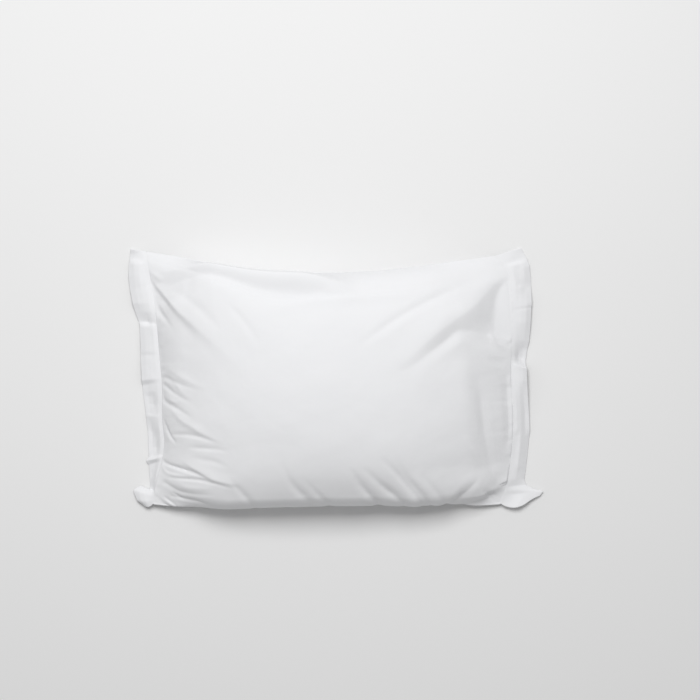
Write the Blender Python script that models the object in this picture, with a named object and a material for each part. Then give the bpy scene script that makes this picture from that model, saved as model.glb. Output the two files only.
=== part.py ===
"""A filled pillowcase with a flat double border down each short side, lying on its back.

Metres, +Z up. X runs along the case, Y from its bottom edge to its top edge, and the origin is
under the middle of its box, on the surface that it lies on. The face is up. The shape is the one
that the case has when it is filled, stands on its bottom edge and leans back: the filling has
sunk, so the face is fullest low down, and the cloth falls in folds from its upper corners.

Three pieces: the filled bag between the stitch lines, and the border outside each stitch line.
Tables are in millimetres; MM turns them into metres when the points are placed.
"""

from collections import namedtuple

import bmesh
import bpy
import numpy as np

MM = 0.001

PLY = 2.0           # two layers of cloth sewn together: a border, or the bag's edge
SEAM_GAP = 0.3      # between the bag and a border, along the stitch line
CONTACT_INSET = 72.0    # how far inside the bag's edge its back lies flat
SEAM_HOLD = 5.0     # folds die out over this distance from the bag's edge

BAG_COLUMNS = 58
BAG_ROWS = 52
EDGE_CROWDING = 0.62    # 0 spaces the columns evenly, 1 crowds them most towards the sides
LOW_CROWDING = 0.36     # the same for the rows, towards the bottom edge
BORDER_ROWS = 96
FOLD_STEPS = 24     # straight steps that a fold's path is followed in
BULGE_GAIN = 1.3    # how soon, going in from a side seam, the face takes the full section's bulge
DEEPEST_FOLD = 0.75  # share of the filling's height that a valley may take away
SECTION_WIDTH = 440.0   # the bag's width where the section is taken
CREST_ENDS = (0.45, 0.60)   # shares of the length where the top edge starts to get round, and is
CREST_REACH = 0.895     # the crest's share of the section
CREST_START = 0.55      # the share of the section from which points move along with the crest
UPPER_HALF = (0.25, 0.8)    # shares of the width where the lower half ends and the upper begins
SLACK_RUN = 140.0   # distance from a side seam over which its slackness fades out
SHARP_ANGLE = 1.0   # radians; sharper edges than this are not shaded smooth

# The bag's outline, seen from above, with the height of its edge over the surface.
EdgePoint = namedtuple("EdgePoint", "x y z")
LEFT_SEAM = (
    EdgePoint(-338, -229, 12),
    EdgePoint(-331, -186, 15),
    EdgePoint(-321, -150, 17),
    EdgePoint(-317, -126, 18),
    EdgePoint(-320, -70, 20),
    EdgePoint(-321, -5, 20),
    EdgePoint(-326, 50, 19),
    EdgePoint(-331, 105, 17),
    EdgePoint(-339, 165, 14),
    EdgePoint(-349, 222, 10),
    EdgePoint(-351, 235, 5),
)
RIGHT_SEAM = (
    EdgePoint(303, -229, 8),
    EdgePoint(313, -190, 13),
    EdgePoint(321, -135, 17),
    EdgePoint(324, -70, 20),
    EdgePoint(321, -15, 21),
    EdgePoint(321, 70, 20),
    EdgePoint(321, 142, 18),
    EdgePoint(317, 186, 15),
    EdgePoint(308, 209, 13),
    EdgePoint(292, 227, 10),
)
BOTTOM_EDGE = (
    EdgePoint(-338, -229, 12),
    EdgePoint(-310, -236, 17),
    EdgePoint(-260, -239, 21),
    EdgePoint(-190, -237, 24),
    EdgePoint(-80, -233, 25),
    EdgePoint(60, -231, 25),
    EdgePoint(180, -232, 22),
    EdgePoint(255, -235, 15),
    EdgePoint(303, -229, 8),
)
TOP_EDGE = (
    EdgePoint(-351, 235, 5),
    EdgePoint(-300, 226, 13),
    EdgePoint(-219, 211, 24),
    EdgePoint(-143, 200, 32),
    EdgePoint(-50, 195, 34),
    EdgePoint(52, 197, 28),
    EdgePoint(150, 207, 22),
    EdgePoint(230, 218, 16),
    EdgePoint(292, 227, 10),
)

# The filled section, from the bottom seam, which is tucked under, over the face to the top seam:
# share of the bag's width, and height over its edge, where the top edge is folded over a crest
# and where it is round.
SectionPoint = namedtuple("SectionPoint", "reach crested round")
SECTION = (
    SectionPoint(0.030, 0, 0),
    SectionPoint(0.006, 8, 8),
    SectionPoint(0.000, 18, 18),
    SectionPoint(0.008, 38, 37),
    SectionPoint(0.019, 50, 49),
    SectionPoint(0.037, 61, 59),
    SectionPoint(0.054, 67, 65),
    SectionPoint(0.087, 77, 75),
    SectionPoint(0.122, 82.5, 80.5),
    SectionPoint(0.157, 86.5, 84.5),
    SectionPoint(0.208, 90, 88),
    SectionPoint(0.276, 93.7, 91.5),
    SectionPoint(0.390, 96, 93.5),
    SectionPoint(0.506, 94.3, 92),
    SectionPoint(0.620, 88, 86),
    SectionPoint(0.736, 79, 76),
    SectionPoint(0.828, 67.5, 62.5),
    SectionPoint(0.880, 57.5, 52.5),
    SectionPoint(0.897, 54, 48),
    SectionPoint(0.912, 53.5, 44),
    SectionPoint(0.940, 54.5, 35),
    SectionPoint(0.970, 55.5, 22),
    SectionPoint(0.990, 53, 10),
    SectionPoint(0.998, 42, 4),
    SectionPoint(1.001, 20, 1),
    SectionPoint(1.000, 0, 0),
)

# How the section fills out from each side seam: distance in from the seam, and share of the full
# height in the lower and in the upper half.
SideFill = namedtuple("SideFill", "inward low high")
LEFT_FILL = (
    SideFill(0, 0.00, 0.00),
    SideFill(10, 0.125, 0.12),
    SideFill(20, 0.22, 0.225),
    SideFill(30, 0.295, 0.32),
    SideFill(45, 0.395, 0.435),
    SideFill(60, 0.48, 0.53),
    SideFill(80, 0.575, 0.635),
    SideFill(105, 0.67, 0.735),
    SideFill(150, 0.78, 0.84),
    SideFill(200, 0.86, 0.905),
    SideFill(280, 0.935, 0.96),
    SideFill(400, 1.00, 1.00),
)
RIGHT_FILL = (
    SideFill(0, 0.00, 0.00),
    SideFill(14, 0.09, 0.08),
    SideFill(30, 0.19, 0.20),
    SideFill(46, 0.285, 0.31),
    SideFill(60, 0.38, 0.41),
    SideFill(76, 0.49, 0.52),
    SideFill(88, 0.565, 0.60),
    SideFill(106, 0.66, 0.70),
    SideFill(126, 0.74, 0.785),
    SideFill(160, 0.83, 0.87),
    SideFill(250, 0.93, 0.95),
    SideFill(400, 1.00, 1.00),
)

# How far the crest of the top edge lies from the edge.
CrestPlace = namedtuple("CrestPlace", "x inward")
TOP_CREST = (
    CrestPlace(-351, 8),
    CrestPlace(-324, 14),
    CrestPlace(-268, 22),
    CrestPlace(-213, 28),
    CrestPlace(-157, 41),
    CrestPlace(-88, 49),
    CrestPlace(-19, 44),
    CrestPlace(60, 42),
    CrestPlace(330, 42),
)

# The corners hold less filling: how many times further in the fill of a side seam reaches.
Slackness = namedtuple("Slackness", "reach left right")
CORNER_SLACK = (
    Slackness(0.00, 1.5, 1.6),
    Slackness(0.04, 1.15, 1.15),
    Slackness(0.12, 1.0, 0.98),
    Slackness(0.30, 0.98, 0.95),
    Slackness(0.45, 1.0, 1.0),
    Slackness(0.62, 1.0, 0.97),
    Slackness(0.72, 0.98, 1.05),
    Slackness(0.80, 0.96, 1.2),
    Slackness(0.87, 1.0, 1.4),
    Slackness(0.93, 1.5, 1.6),
    Slackness(1.00, 2.2, 2.0),
)

# Main folds of the face. A path runs through three or more points (x, y). How far the fold spreads
# to the left and to the right of the path, and its height along the surface's normal, negative for
# a valley, are given at places spaced evenly along it. Crispness is 0 for a rounded fold and 1 for
# one that is creased to a line.
Fold = namedtuple("Fold", "path left right heights crispness right_crispness", defaults=(0.3, None))
UPPER_LEFT_FOLDS = (
    Fold(
        ((-350, 193), (-325, 166), (-292, 128), (-254, 93), (-198, 45), (-160, 8)),
        (14, 30, 44, 48, 44, 34), (7, 10, 14, 22, 32, 38), (0, 2.6, 4, 3.6, 2.4, 1.2, 0), 0.9,
    ),
    Fold(
        ((-342, 176), (-313, 139), (-273, 96), (-219, 52)),
        (5, 10, 16, 24), (20, 32, 40, 44), (-1, -2, -1.5, -0.5, 0), 0.4,
    ),
    Fold(((-300, 164), (-248, 127), (-206, 86)), (10, 14, 12), (10, 14, 12), (0, -1.2, -1.4, 0), 0.2),
    Fold(((-200, 140), (-172, 110), (-135, 58)), (10, 12, 12), (10, 12, 12), (0, -1.4, -1.2, 0), 0.3),
)
CROWN_FOLDS = (
    Fold(
        ((-338, 219), (-268, 199), (-213, 183), (-157, 161), (-100, 146), (-50, 150), (-12, 170), (6, 192)),
        (8, 14, 22, 30, 38, 44, 40, 30), (8, 10, 14, 16, 16, 14, 12, 10),
        (-0.6, -1.2, -1.6, -2, -2, -1.5, -0.8, -0.2), 0.5, 0.9,
    ),
    Fold(
        ((-130, 130), (-88, 135), (-19, 143), (77, 150), (135, 156)),
        (12, 12, 14, 16), (24, 26, 22, 18), (0, 1.8, 2.6, 1.8, 0), 0.9,
    ),
)
UPPER_RIGHT_FOLDS = (
    Fold(
        ((259, 181), (183, 150), (113, 112), (37, 57)),
        (12, 15, 15, 14), (12, 13, 13, 12), (0, -1.6, -2.6, -2.2, 0), 0.4,
    ),
    Fold(
        ((313, 194), (282, 166), (246, 130), (216, 108), (190, 88), (150, 56), (100, 10)),
        (44, 60, 66, 62, 50, 38, 28), (24, 44, 60, 60, 50, 40, 30), (0, 4.5, 8, 8, 5.5, 2.6, 1, 0), 0.6, 0.4,
    ),
    Fold(
        ((320, 186), (309, 166), (301, 143), (296, 121), (293, 100), (289, 76)),
        (20, 40, 60, 70, 60, 40), (10, 34, 56, 64, 60, 50), (0, -6, -9.5, -10.5, -9, -3), 0.0, 0.6,
    ),
    Fold(
        ((290, 84), (265, 84), (242, 89), (218, 87), (203, 74), (172, 50), (140, 24)),
        (34, 34, 28, 22, 22, 22, 22), (40, 44, 40, 32, 24, 18, 14), (-1, -3, -5.5, -6, -4, -1.6, 0),
        0.4, 0.6,
    ),
)
LEFT_FOLDS = (
    Fold(((-303, 16), (-283, 4), (-258, -9), (-235, -19)), (14, 14, 12), (12, 9, 5), (0.8, 1.5, 1, 0), 0.9),
    Fold(((-314, 3), (-293, -6), (-275, -13), (-250, -21)), (9, 7, 4), (8, 6, 4), (-2.5, -1.8, -1, 0), 0.8),
    Fold(((-299, -1), (-289, -13), (-281, -24), (-260, -37)), (10, 11, 10), (8, 8, 5), (0.4, 1.3, 0.8, 0), 0.9),
    Fold(((-315, -12), (-299, -24), (-284, -33), (-262, -44)), (9, 7, 4), (8, 6, 4), (-3, -2.2, -1.2, 0), 0.8),
    Fold(((-316, -40), (-297, -51), (-280, -60), (-260, -72)), (10, 8, 5), (9, 7, 4), (-3, -2.6, -1.4, 0), 0.8),
    Fold(
        ((-302, -54), (-283, -74), (-259, -88), (-233, -104), (-200, -117)),
        (12, 16, 18), (10, 12, 8), (0.6, 2.2, 2.2, 1.2, 0), 0.9,
    ),
    Fold(
        ((-300, -101), (-268, -102), (-234, -109), (-213, -116)),
        (8, 11, 6), (6, 6, 5), (-1, -2.6, -2.4, 0), 0.9,
    ),
    Fold(
        ((-272, -124), (-240, -126), (-210, -128), (-192, -131)),
        (9, 10, 6), (6, 7, 6), (0, -2, -1.6, 0), 0.9,
    ),
    Fold(
        ((-284, -146), (-256, -164), (-223, -182), (-206, -187), (-172, -192)),
        (18, 24, 20), (9, 10, 8), (0, 2.6, 3.6, 2.4, 0), 0.9,
    ),
    Fold(
        ((-318, -152), (-306, -157), (-293, -161), (-268, -168), (-245, -175), (-224, -184)),
        (6, 9, 9), (5, 5, 5), (-2, -4, -3.6, -2.6, 0), 0.8,
    ),
    Fold(
        ((-302, -180), (-270, -182), (-240, -185), (-210, -192), (-186, -200)),
        (7, 8, 5), (5, 5, 4), (-1, -2.6, -2.4, -1.4, 0), 0.8,
    ),
    Fold(((-294, -187), (-276, -196), (-250, -199), (-222, -199)), (8, 9, 8), (8, 8, 6), (0, 1.2, 1, 0), 0.6),
    Fold(((-314, -190), (-288, -204), (-262, -209), (-220, -211)), (9, 8, 5), (9, 7, 5), (-2, -2, -1.4, 0), 0.6),
)
RIGHT_FOLDS = (
    Fold(
        ((224, 8), (232, -34), (236, -88), (244, -128), (258, -158), (278, -186)),
        (30, 34, 34, 32, 24, 14), (36, 44, 44, 36, 24, 14), (0, 0.8, 1.4, 1.6, 1.2, 0), 0.4,
    ),
    Fold(
        ((260, -22), (266, -60), (270, -95), (276, -130), (286, -168)),
        (10, 10, 8), (10, 10, 8), (0, -1.4, -2.2, -1.6, 0), 0.5,
    ),
    Fold(
        ((238, -102), (246, -122), (259, -143), (274, -168), (292, -194)),
        (14, 14, 12), (14, 16, 12), (0, 1.4, 1.8, 1.2, 0), 0.3,
    ),
    Fold(
        ((311, 18), (314, -20), (316, -60), (316, -100), (311, -132)),
        (8, 8, 8), (14, 16, 12), (0, -2, -2.4, -2, 0), 0.4,
    ),
    Fold(((277, 42), (293, 33), (310, 26)), (14, 14, 14), (14, 14, 14), (0, -2, 0)),
    Fold(((96, -220), (190, -214), (250, -206), (296, -196)), (56, 60, 56, 44), (24, 24, 22, 18), (0, 6, 8, 3), 0.0),
    Fold(((202, -228), (224, -210), (244, -190), (256, -176)), (13, 15, 12), (9, 10, 8), (-2, -4, -3, 0), 0.7, 0.9),
    Fold(((262, -196), (276, -208), (290, -219), (303, -228)), (12, 13, 10), (7, 8, 7), (0, -3, -4, -2), 0.6, 0.9),
)
BOTTOM_FOLDS = (
    Fold(((-196, -178), (-172, -206), (-150, -232)), (8, 12, 14), (6, 9, 10), (0, -1.6, -2.6, -2), 0.6),
    Fold(((-100, -150), (-82, -187), (-49, -224)), (10, 14, 16), (7, 10, 12), (0, -1.4, -3, -2.6), 0.6),
    Fold(((26, -160), (47, -196), (76, -228)), (10, 14, 16), (7, 10, 12), (0, -2.6, -4.6, -3.6), 0.7),
    Fold(((46, -158), (89, -199), (124, -226)), (12, 14, 16), (8, 10, 12), (0, -2.6, -4.4, -3.4), 0.7),
    Fold(((78, -140), (107, -169), (134, -199), (158, -226)), (12, 15, 16), (8, 10, 12), (0, -2.6, -4.6, -3.6), 0.7),
    Fold(((106, -142), (131, -181), (152, -205), (172, -228)), (9, 12, 12), (8, 10, 10), (0, -2, -3.6, -3), 0.7),
    Fold(((150, -168), (176, -198), (200, -226)), (10, 12, 12), (8, 10, 10), (0, -1.4, -2, -1.6), 0.5),
)
FOLDS = UPPER_LEFT_FOLDS + CROWN_FOLDS + UPPER_RIGHT_FOLDS + LEFT_FOLDS + RIGHT_FOLDS + BOTTOM_FOLDS

# The borders, from top to bottom: the place on the stitch line, the outer end, and the heights of
# the border's middle a quarter, a half, three quarters and the whole of the way out, with how far
# it sags towards the bottom. Their creases were pressed in when the case was folded flat, so they
# run straight across: two rows close together, with a step between them.
BorderStation = namedtuple(
    "BorderStation", "seam_y out_x out_y quarter half three_quarters rim sag", defaults=(0.0,)
)
LEFT_BORDER = (
    BorderStation(235, -379, 240, 7, 8, 9, 8),
    BorderStation(229, -380, 232, 8, 7, 6, 4),
    BorderStation(222, -381, 223, 9, 7, 5, 3),
    BorderStation(212, -382, 213, 12, 13, 11, 4),
    BorderStation(190, -383, 191, 14, 14, 10, 3),
    BorderStation(165, -380, 166, 16, 15, 9, 3),
    BorderStation(140, -375, 140, 17, 13, 7, 3),
    BorderStation(124, -370, 124, 16, 9, 5, 2),
    BorderStation(104, -364, 106, 13, 6, 3, 2),
    BorderStation(98, -362, 98, 17, 13, 9, 4),
    BorderStation(52, -360, 50, 18, 15, 11, 5),
    BorderStation(46, -360, 44, 17.5, 14, 10, 4),
    BorderStation(38, -360, 36, 18, 15, 11, 5),
    BorderStation(2, -358, -2, 18.5, 16, 13, 8),
    BorderStation(-5, -357, -10, 17, 12, 7, 3),
    BorderStation(-20, -356, -24, 17, 12, 6, 2),
    BorderStation(-30, -355, -32, 17, 9, 4, 2),
    BorderStation(-45, -353, -46, 16, 8, 4, 2),
    BorderStation(-62, -351, -62, 17, 12, 6, 2),
    BorderStation(-68, -350, -68, 18, 14, 9, 3),
    BorderStation(-95, -347, -96, 18, 13, 5, 2),
    BorderStation(-124, -346, -126, 17, 9, 5, 2),
    BorderStation(-136, -345, -143, 15, 9, 5, 2),
    BorderStation(-142, -350, -150, 17, 14, 10, 4),
    BorderStation(-149, -345, -157, 14, 8, 5, 2),
    BorderStation(-170, -344, -176, 15, 8, 4, 2),
    BorderStation(-185, -343, -190, 13, 9, 5, 2),
    BorderStation(-197, -343, -199, 9, 6, 4, 2),
    BorderStation(-204, -343, -203, 7, 5, 4, 3),
    BorderStation(-209, -360, -196, 10, 10, 8, 4),
    BorderStation(-215, -374, -204, 12, 12, 9, 4),
    BorderStation(-222, -366, -223, 12, 10, 7, 3, 2),
    BorderStation(-229, -352, -234, 9, 7, 5, 2, 2),
)
RIGHT_BORDER = (
    BorderStation(227, 340, 242, 9, 8, 6, 4),
    BorderStation(218, 345, 233, 10, 8, 5, 2),
    BorderStation(211, 350, 224, 10, 7, 4, 2),
    BorderStation(206, 352, 217, 13, 12, 9, 3),
    BorderStation(200, 355, 209, 14, 11, 10, 4),
    BorderStation(185, 357, 190, 15, 11, 9, 3),
    BorderStation(172, 358, 177, 16, 11, 7, 2),
    BorderStation(168, 358, 172, 16, 13, 7, 2),
    BorderStation(140, 359, 142, 17, 15, 11, 4),
    BorderStation(105, 357, 104, 18, 15, 11, 4),
    BorderStation(75, 354, 70, 17, 12, 7, 2),
    BorderStation(62, 351, 56, 16, 10, 5, 2),
    BorderStation(44, 348, 36, 15, 6, 3, 2),
    BorderStation(36, 348, 27, 17, 11, 6, 3),
    BorderStation(28, 349, 21, 19, 17, 13, 5),
    BorderStation(0, 350, -4, 19, 17, 12, 5),
    BorderStation(-35, 352, -38, 18, 14, 6, 4),
    BorderStation(-62, 354, -64, 18, 13, 5, 4),
    BorderStation(-92, 355, -93, 17, 13, 5, 4),
    BorderStation(-97, 355, -99, 17, 14, 7, 3),
    BorderStation(-102, 354, -105, 16, 14, 8, 2),
    BorderStation(-133, 351, -135, 15, 13, 6, 2),
    BorderStation(-160, 348, -161, 14, 12, 6, 2),
    BorderStation(-185, 345, -184, 12, 9, 5, 2),
    BorderStation(-198, 348, -194, 9, 7, 5, 2),
    BorderStation(-205, 362, -202, 9, 8, 6, 3),
    BorderStation(-213, 380, -206, 8, 9, 8, 4),
    BorderStation(-221, 374, -214, 7, 9, 7, 3, 3),
    BorderStation(-229, 358, -221, 6, 7, 5, 2, 10),
)

WHITE_COTTON = (0.86, 0.86, 0.855, 1.0)
COTTON_ROUGHNESS = 0.85


def clear_scene():
    """Remove every object that the scene starts with."""
    for existing in list(bpy.data.objects):
        bpy.data.objects.remove(existing, do_unlink=True)


def smooth_curve(points, share):
    """Points of a smooth curve through the given ones, at shares 0 to 1 of its length.

    Each stretch is a cubic whose end directions come from its neighbours.
    """
    knots = np.array(points, float)
    steps = np.linalg.norm(np.diff(knots, axis=0), axis=1)
    along = np.concatenate(([0.0], np.cumsum(steps))) / steps.sum()
    slopes = np.gradient(knots, along, axis=0)
    share = np.asarray(share, float)
    index = np.clip(np.searchsorted(along, share, side="right") - 1, 0, len(knots) - 2)
    span = along[index + 1] - along[index]
    t = ((share - along[index]) / span)[..., None]
    span = span[..., None]
    start, end = knots[index], knots[index + 1]
    leave, arrive = slopes[index] * span, slopes[index + 1] * span
    return (
        start * (2 * t**3 - 3 * t**2 + 1)
        + leave * (t**3 - 2 * t**2 + t)
        + end * (3 * t**2 - 2 * t**3)
        + arrive * (t**3 - t**2)
    )


def smooth_value(where, keys, values):
    """Read values given at rising keys: a cubic between neighbours, with no corner at a key."""
    slopes = np.gradient(values, keys)
    where = np.clip(where, keys[0], keys[-1])
    index = np.clip(np.searchsorted(keys, where, side="right") - 1, 0, len(keys) - 2)
    span = keys[index + 1] - keys[index]
    t = (where - keys[index]) / span
    return (
        values[index] * (2 * t**3 - 3 * t**2 + 1)
        + slopes[index] * span * (t**3 - 2 * t**2 + t)
        + values[index + 1] * (3 * t**2 - 2 * t**3)
        + slopes[index + 1] * span * (t**3 - t**2)
    )


def table_value(where, rows, key, value, read=smooth_value):
    """Read one column of a table against another."""
    keys = np.array([getattr(row, key) for row in rows], float)
    values = np.array([getattr(row, value) for row in rows], float)
    order = np.argsort(keys)
    return read(where, keys[order], values[order])


def evenly_spaced(values, share):
    """Read values given at evenly spaced shares from 0 to 1, on a smooth curve."""
    return smooth_value(share, np.linspace(0.0, 1.0, len(values)), np.array(values, float))


def column_shares():
    """Shares of the bag's length, crowded towards both side seams."""
    even = np.linspace(0.0, 1.0, BAG_COLUMNS + 1)
    return even - EDGE_CROWDING * np.sin(2 * np.pi * even) / (2 * np.pi)


def row_shares():
    """Shares of the way over the face, crowded towards the bottom edge."""
    even = np.linspace(0.0, 1.0, BAG_ROWS + 1)
    return even - LOW_CROWDING * even * (1.0 - even)


def edge_patch(across, up):
    """The surface that spans the bag's four edges: opposite edges blended, less the corners."""
    left = smooth_curve(LEFT_SEAM, up)
    right = smooth_curve(RIGHT_SEAM, up)
    bottom = smooth_curve(BOTTOM_EDGE, across)
    top = smooth_curve(TOP_EDGE, across)
    a, u = across[..., None], up[..., None]
    corners = (
        np.array(LEFT_SEAM[0]) * (1 - a) * (1 - u)
        + np.array(RIGHT_SEAM[0]) * a * (1 - u)
        + np.array(LEFT_SEAM[-1]) * (1 - a) * u
        + np.array(RIGHT_SEAM[-1]) * a * u
    )
    return left * (1 - a) + right * a + bottom * (1 - u) + top * u - corners


def move_crest(reach, x):
    """Move the crest of the top edge to its own distance from the edge."""
    ratio = table_value(x, TOP_CREST, "x", "inward") / ((1.0 - CREST_REACH) * SECTION_WIDTH)
    share = np.clip((reach - CREST_START) / (CREST_REACH - CREST_START), 0.0, 1.0)
    return 1.0 - (1.0 - reach) * (1.0 + (ratio - 1.0) * smooth_step(share))


def side_fill(across, reach, length):
    """Share of its full height that the section has, falling to nothing at both side seams.

    Distances from a seam are divided by its slackness, which fades out with them.
    """
    inward = []
    for distance, side in ((across * length, "left"), ((1.0 - across) * length, "right")):
        slack = table_value(reach, CORNER_SLACK, "reach", side) - 1.0
        fade = 1.0 - smooth_step(np.clip(distance / SLACK_RUN, 0.0, 1.0))
        inward.append(distance / (1.0 + slack * fade))
    low, high = (
        table_value(inward[0], LEFT_FILL, "inward", half)
        * table_value(inward[1], RIGHT_FILL, "inward", half)
        for half in ("low", "high")
    )
    upper = np.clip((reach - UPPER_HALF[0]) / (UPPER_HALF[1] - UPPER_HALF[0]), 0.0, 1.0)
    return low + (high - low) * smooth_step(upper)


def fold_height(fold, x, y):
    """Height of one fold at the points (x, y).

    The nearest point of the path gives a distance and a share of its length. Across the path the
    height is an eased hump, mixed with its squared cone where the fold is crisp.
    """
    path = smooth_curve(fold.path, np.linspace(0.0, 1.0, FOLD_STEPS + 1))
    away = np.full(x.shape, np.inf)
    turn = np.zeros(x.shape)
    along = np.zeros(x.shape)
    for step, (start, end) in enumerate(zip(path[:-1], path[1:])):
        run = end - start
        local = ((x - start[0]) * run[0] + (y - start[1]) * run[1]) / (run @ run)
        local = np.clip(local, 0.0, 1.0)
        off_x = x - start[0] - local * run[0]
        off_y = y - start[1] - local * run[1]
        distance = np.hypot(off_x, off_y)
        nearer = distance < away
        away = np.where(nearer, distance, away)
        turn = np.where(nearer, run[0] * off_y - run[1] * off_x, turn)
        along = np.where(nearer, (step + local) / FOLD_STEPS, along)
    on_left = turn > 0
    widths = [evenly_spaced(values, along) for values in (fold.left, fold.right)]
    across = np.clip(1 - away / np.where(on_left, *widths), 0.0, 1.0)
    right_crispness = fold.crispness if fold.right_crispness is None else fold.right_crispness
    crispness = np.where(on_left, fold.crispness, right_crispness)
    hump = smooth_step(across) * (1 - crispness) + across**2 * crispness
    return evenly_spaced(fold.heights, along) * hump


def smooth_step(share):
    """Ease a share from 0 to 1 with level ends."""
    return share * share * (3 - 2 * share)


def surface_normals(points):
    """Unit normals of a grid of points, from the differences between its rows and columns."""
    along_rows = np.gradient(points, axis=0)
    along_columns = np.gradient(points, axis=1)
    normals = np.cross(along_columns, along_rows)
    return normals / np.linalg.norm(normals, axis=2, keepdims=True)


def bag_grids():
    """Grids of points for the bag's face and its back, row by row from the bottom edge."""
    across, up = np.meshgrid(column_shares(), row_shares())
    length = smooth_curve(RIGHT_SEAM, up)[..., 0] - smooth_curve(LEFT_SEAM, up)[..., 0]
    width = smooth_curve(TOP_EDGE, across)[..., 1] - smooth_curve(BOTTOM_EDGE, across)[..., 1]
    crested, rounded = (smooth_curve(scaled_section(rise), up) for rise in ("crested", "round"))
    turn = np.clip((across - CREST_ENDS[0]) / (CREST_ENDS[1] - CREST_ENDS[0]), 0.0, 1.0)
    section = crested + (rounded - crested) * smooth_step(turn)[..., None]
    full_reach = move_crest(section[..., 0] / SECTION_WIDTH, smooth_curve(TOP_EDGE, across)[..., 0])
    fill = side_fill(across, full_reach, length)
    reach = up + (full_reach - up) * np.minimum(1.0, fill * BULGE_GAIN)
    edge = edge_patch(across, reach)
    face = edge + section[..., 1:] * fill[..., None] * (0, 0, 1)
    from_side = np.minimum(across, 1.0 - across) * length
    from_end = np.minimum(up, 1.0 - up) * width
    hold = np.clip(np.minimum(from_side, from_end) / SEAM_HOLD, 0.0, 1.0)
    folds = sum(fold_height(fold, face[..., 0], face[..., 1]) for fold in FOLDS)
    room = DEEPEST_FOLD * (face[..., 2] - edge[..., 2])
    face += surface_normals(face) * (np.maximum(folds, -room) * hold)[..., None]

    tuck = reach[0] * (1.0 - up)
    back = edge_patch(across, up + tuck)
    side_run = np.clip(from_side / CONTACT_INSET, 0.0, 1.0)
    end_run = np.clip(from_end / CONTACT_INSET, 0.0, 1.0)
    lift = 1.0 - (1.0 - (1.0 - side_run) ** 2) * (1.0 - (1.0 - end_run) ** 2)
    back[..., 2] = (back[..., 2] - PLY / 2) * lift
    face[..., 2] += PLY / 2
    return face, back


def scaled_section(rise):
    """The filled section with both of its columns in millimetres, so that its length is true."""
    return [(point.reach * SECTION_WIDTH, getattr(point, rise)) for point in SECTION]


def border_grid(seam, rows, outward):
    """Grid of points for a border, from its inner edge beside the stitch line to its outer edge."""
    even = np.linspace(0.0, 1.0, BORDER_ROWS + 1)
    line = smooth_curve(seam, even - LOW_CROWDING * even * (1.0 - even))
    run = np.gradient(line[:, :2], axis=0)
    run /= np.linalg.norm(run, axis=1, keepdims=True)
    inner = line.copy()
    inner[:, 0] += outward * run[:, 1] * SEAM_GAP
    inner[:, 1] -= outward * run[:, 0] * SEAM_GAP
    read = {
        column: table_value(line[:, 1], rows, "seam_y", column, np.interp)
        for column in BorderStation._fields
    }
    heights = [line[:, 2], read["quarter"], read["half"], read["three_quarters"], read["rim"]]
    outer = np.stack((read["out_x"], read["out_y"]), axis=1)
    out = np.linspace(0.0, 1.0, len(heights))
    grid = np.empty((len(line), len(heights), 3))
    grid[..., :2] = inner[:, None, :2] + (outer - inner[:, :2])[:, None] * out[None, :, None]
    grid[..., 1] -= read["sag"][:, None] * 4 * out * (1 - out)
    grid[..., 2] = np.stack(heights, axis=1)
    return grid if outward > 0 else grid[:, ::-1]


def slab(name, upper, lower):
    """A closed mesh between two grids of points of the same size, joined all round their rims.

    What lies flat on the surface becomes one face.
    """
    rows, columns = upper.shape[:2]
    shape = bmesh.new()
    bmesh.ops.create_grid(shape, x_segments=columns - 1, y_segments=rows - 1, size=1.0)
    below = shape.verts[:]
    raised = bmesh.ops.extrude_face_region(shape, geom=shape.faces[:], use_keep_orig=True)
    above = [part for part in raised["geom"] if isinstance(part, bmesh.types.BMVert)]
    for vertices, grid in ((below, lower), (above, upper)):
        for vertex in vertices:
            column = round((vertex.co.x + 1) / 2 * (columns - 1))
            row = round((vertex.co.y + 1) / 2 * (rows - 1))
            vertex.co = grid[row, column] * MM
    flat = [face for face in shape.faces if all(vertex.co.z == 0 for vertex in face.verts)]
    bmesh.ops.dissolve_faces(shape, faces=flat, use_verts=True)
    bmesh.ops.recalc_face_normals(shape, faces=shape.faces[:])
    mesh = bpy.data.meshes.new(name)
    shape.to_mesh(mesh)
    shape.free()
    mesh.shade_smooth()
    mesh.set_sharp_from_angle(angle=SHARP_ANGLE)
    return mesh


def white_cotton(name):
    """The plain white cotton of one piece."""
    material = bpy.data.materials.new(name)
    material.use_nodes = True
    shader = material.node_tree.nodes["Principled BSDF"]
    shader.inputs["Base Color"].default_value = WHITE_COTTON
    shader.inputs["Roughness"].default_value = COTTON_ROUGHNESS
    shader.inputs["Metallic"].default_value = 0.0
    return material


def add_piece(collection, name, upper, lower):
    """Put one piece of the pillowcase in the scene."""
    mesh = slab(name, upper, lower)
    mesh.materials.append(white_cotton(name))
    piece = bpy.data.objects.new(name, mesh)
    collection.objects.link(piece)


def build():
    """Build the filled bag and its two borders."""
    clear_scene()
    pillowcase = bpy.data.collections.new("pillowcase")
    bpy.context.scene.collection.children.link(pillowcase)
    face, back = bag_grids()
    add_piece(pillowcase, "filled_bag", face, back)
    for name, seam, rows, outward in (
        ("border_left", LEFT_SEAM, LEFT_BORDER, -1),
        ("border_right", RIGHT_SEAM, RIGHT_BORDER, 1),
    ):
        grid = border_grid(seam, rows, outward)
        half = np.array((0.0, 0.0, PLY / 2))
        add_piece(pillowcase, name, grid + half, grid - half)


build()
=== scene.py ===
"""The looks of a filled white pillowcase with a flat stitched border down each short side.

The case lies on its back on a plain pale floor, its face up and its top edge away from the viewer.
Every table is in millimetres in the part's own frame: X along the case, Y from its bottom edge to
its top edge, Z up from the floor. MM turns a finished grid of points into metres.
"""

import logging
from dataclasses import dataclass
from enum import Enum
from typing import NamedTuple

import bpy
import numpy as np
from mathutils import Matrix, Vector
from numpy.typing import NDArray


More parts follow.
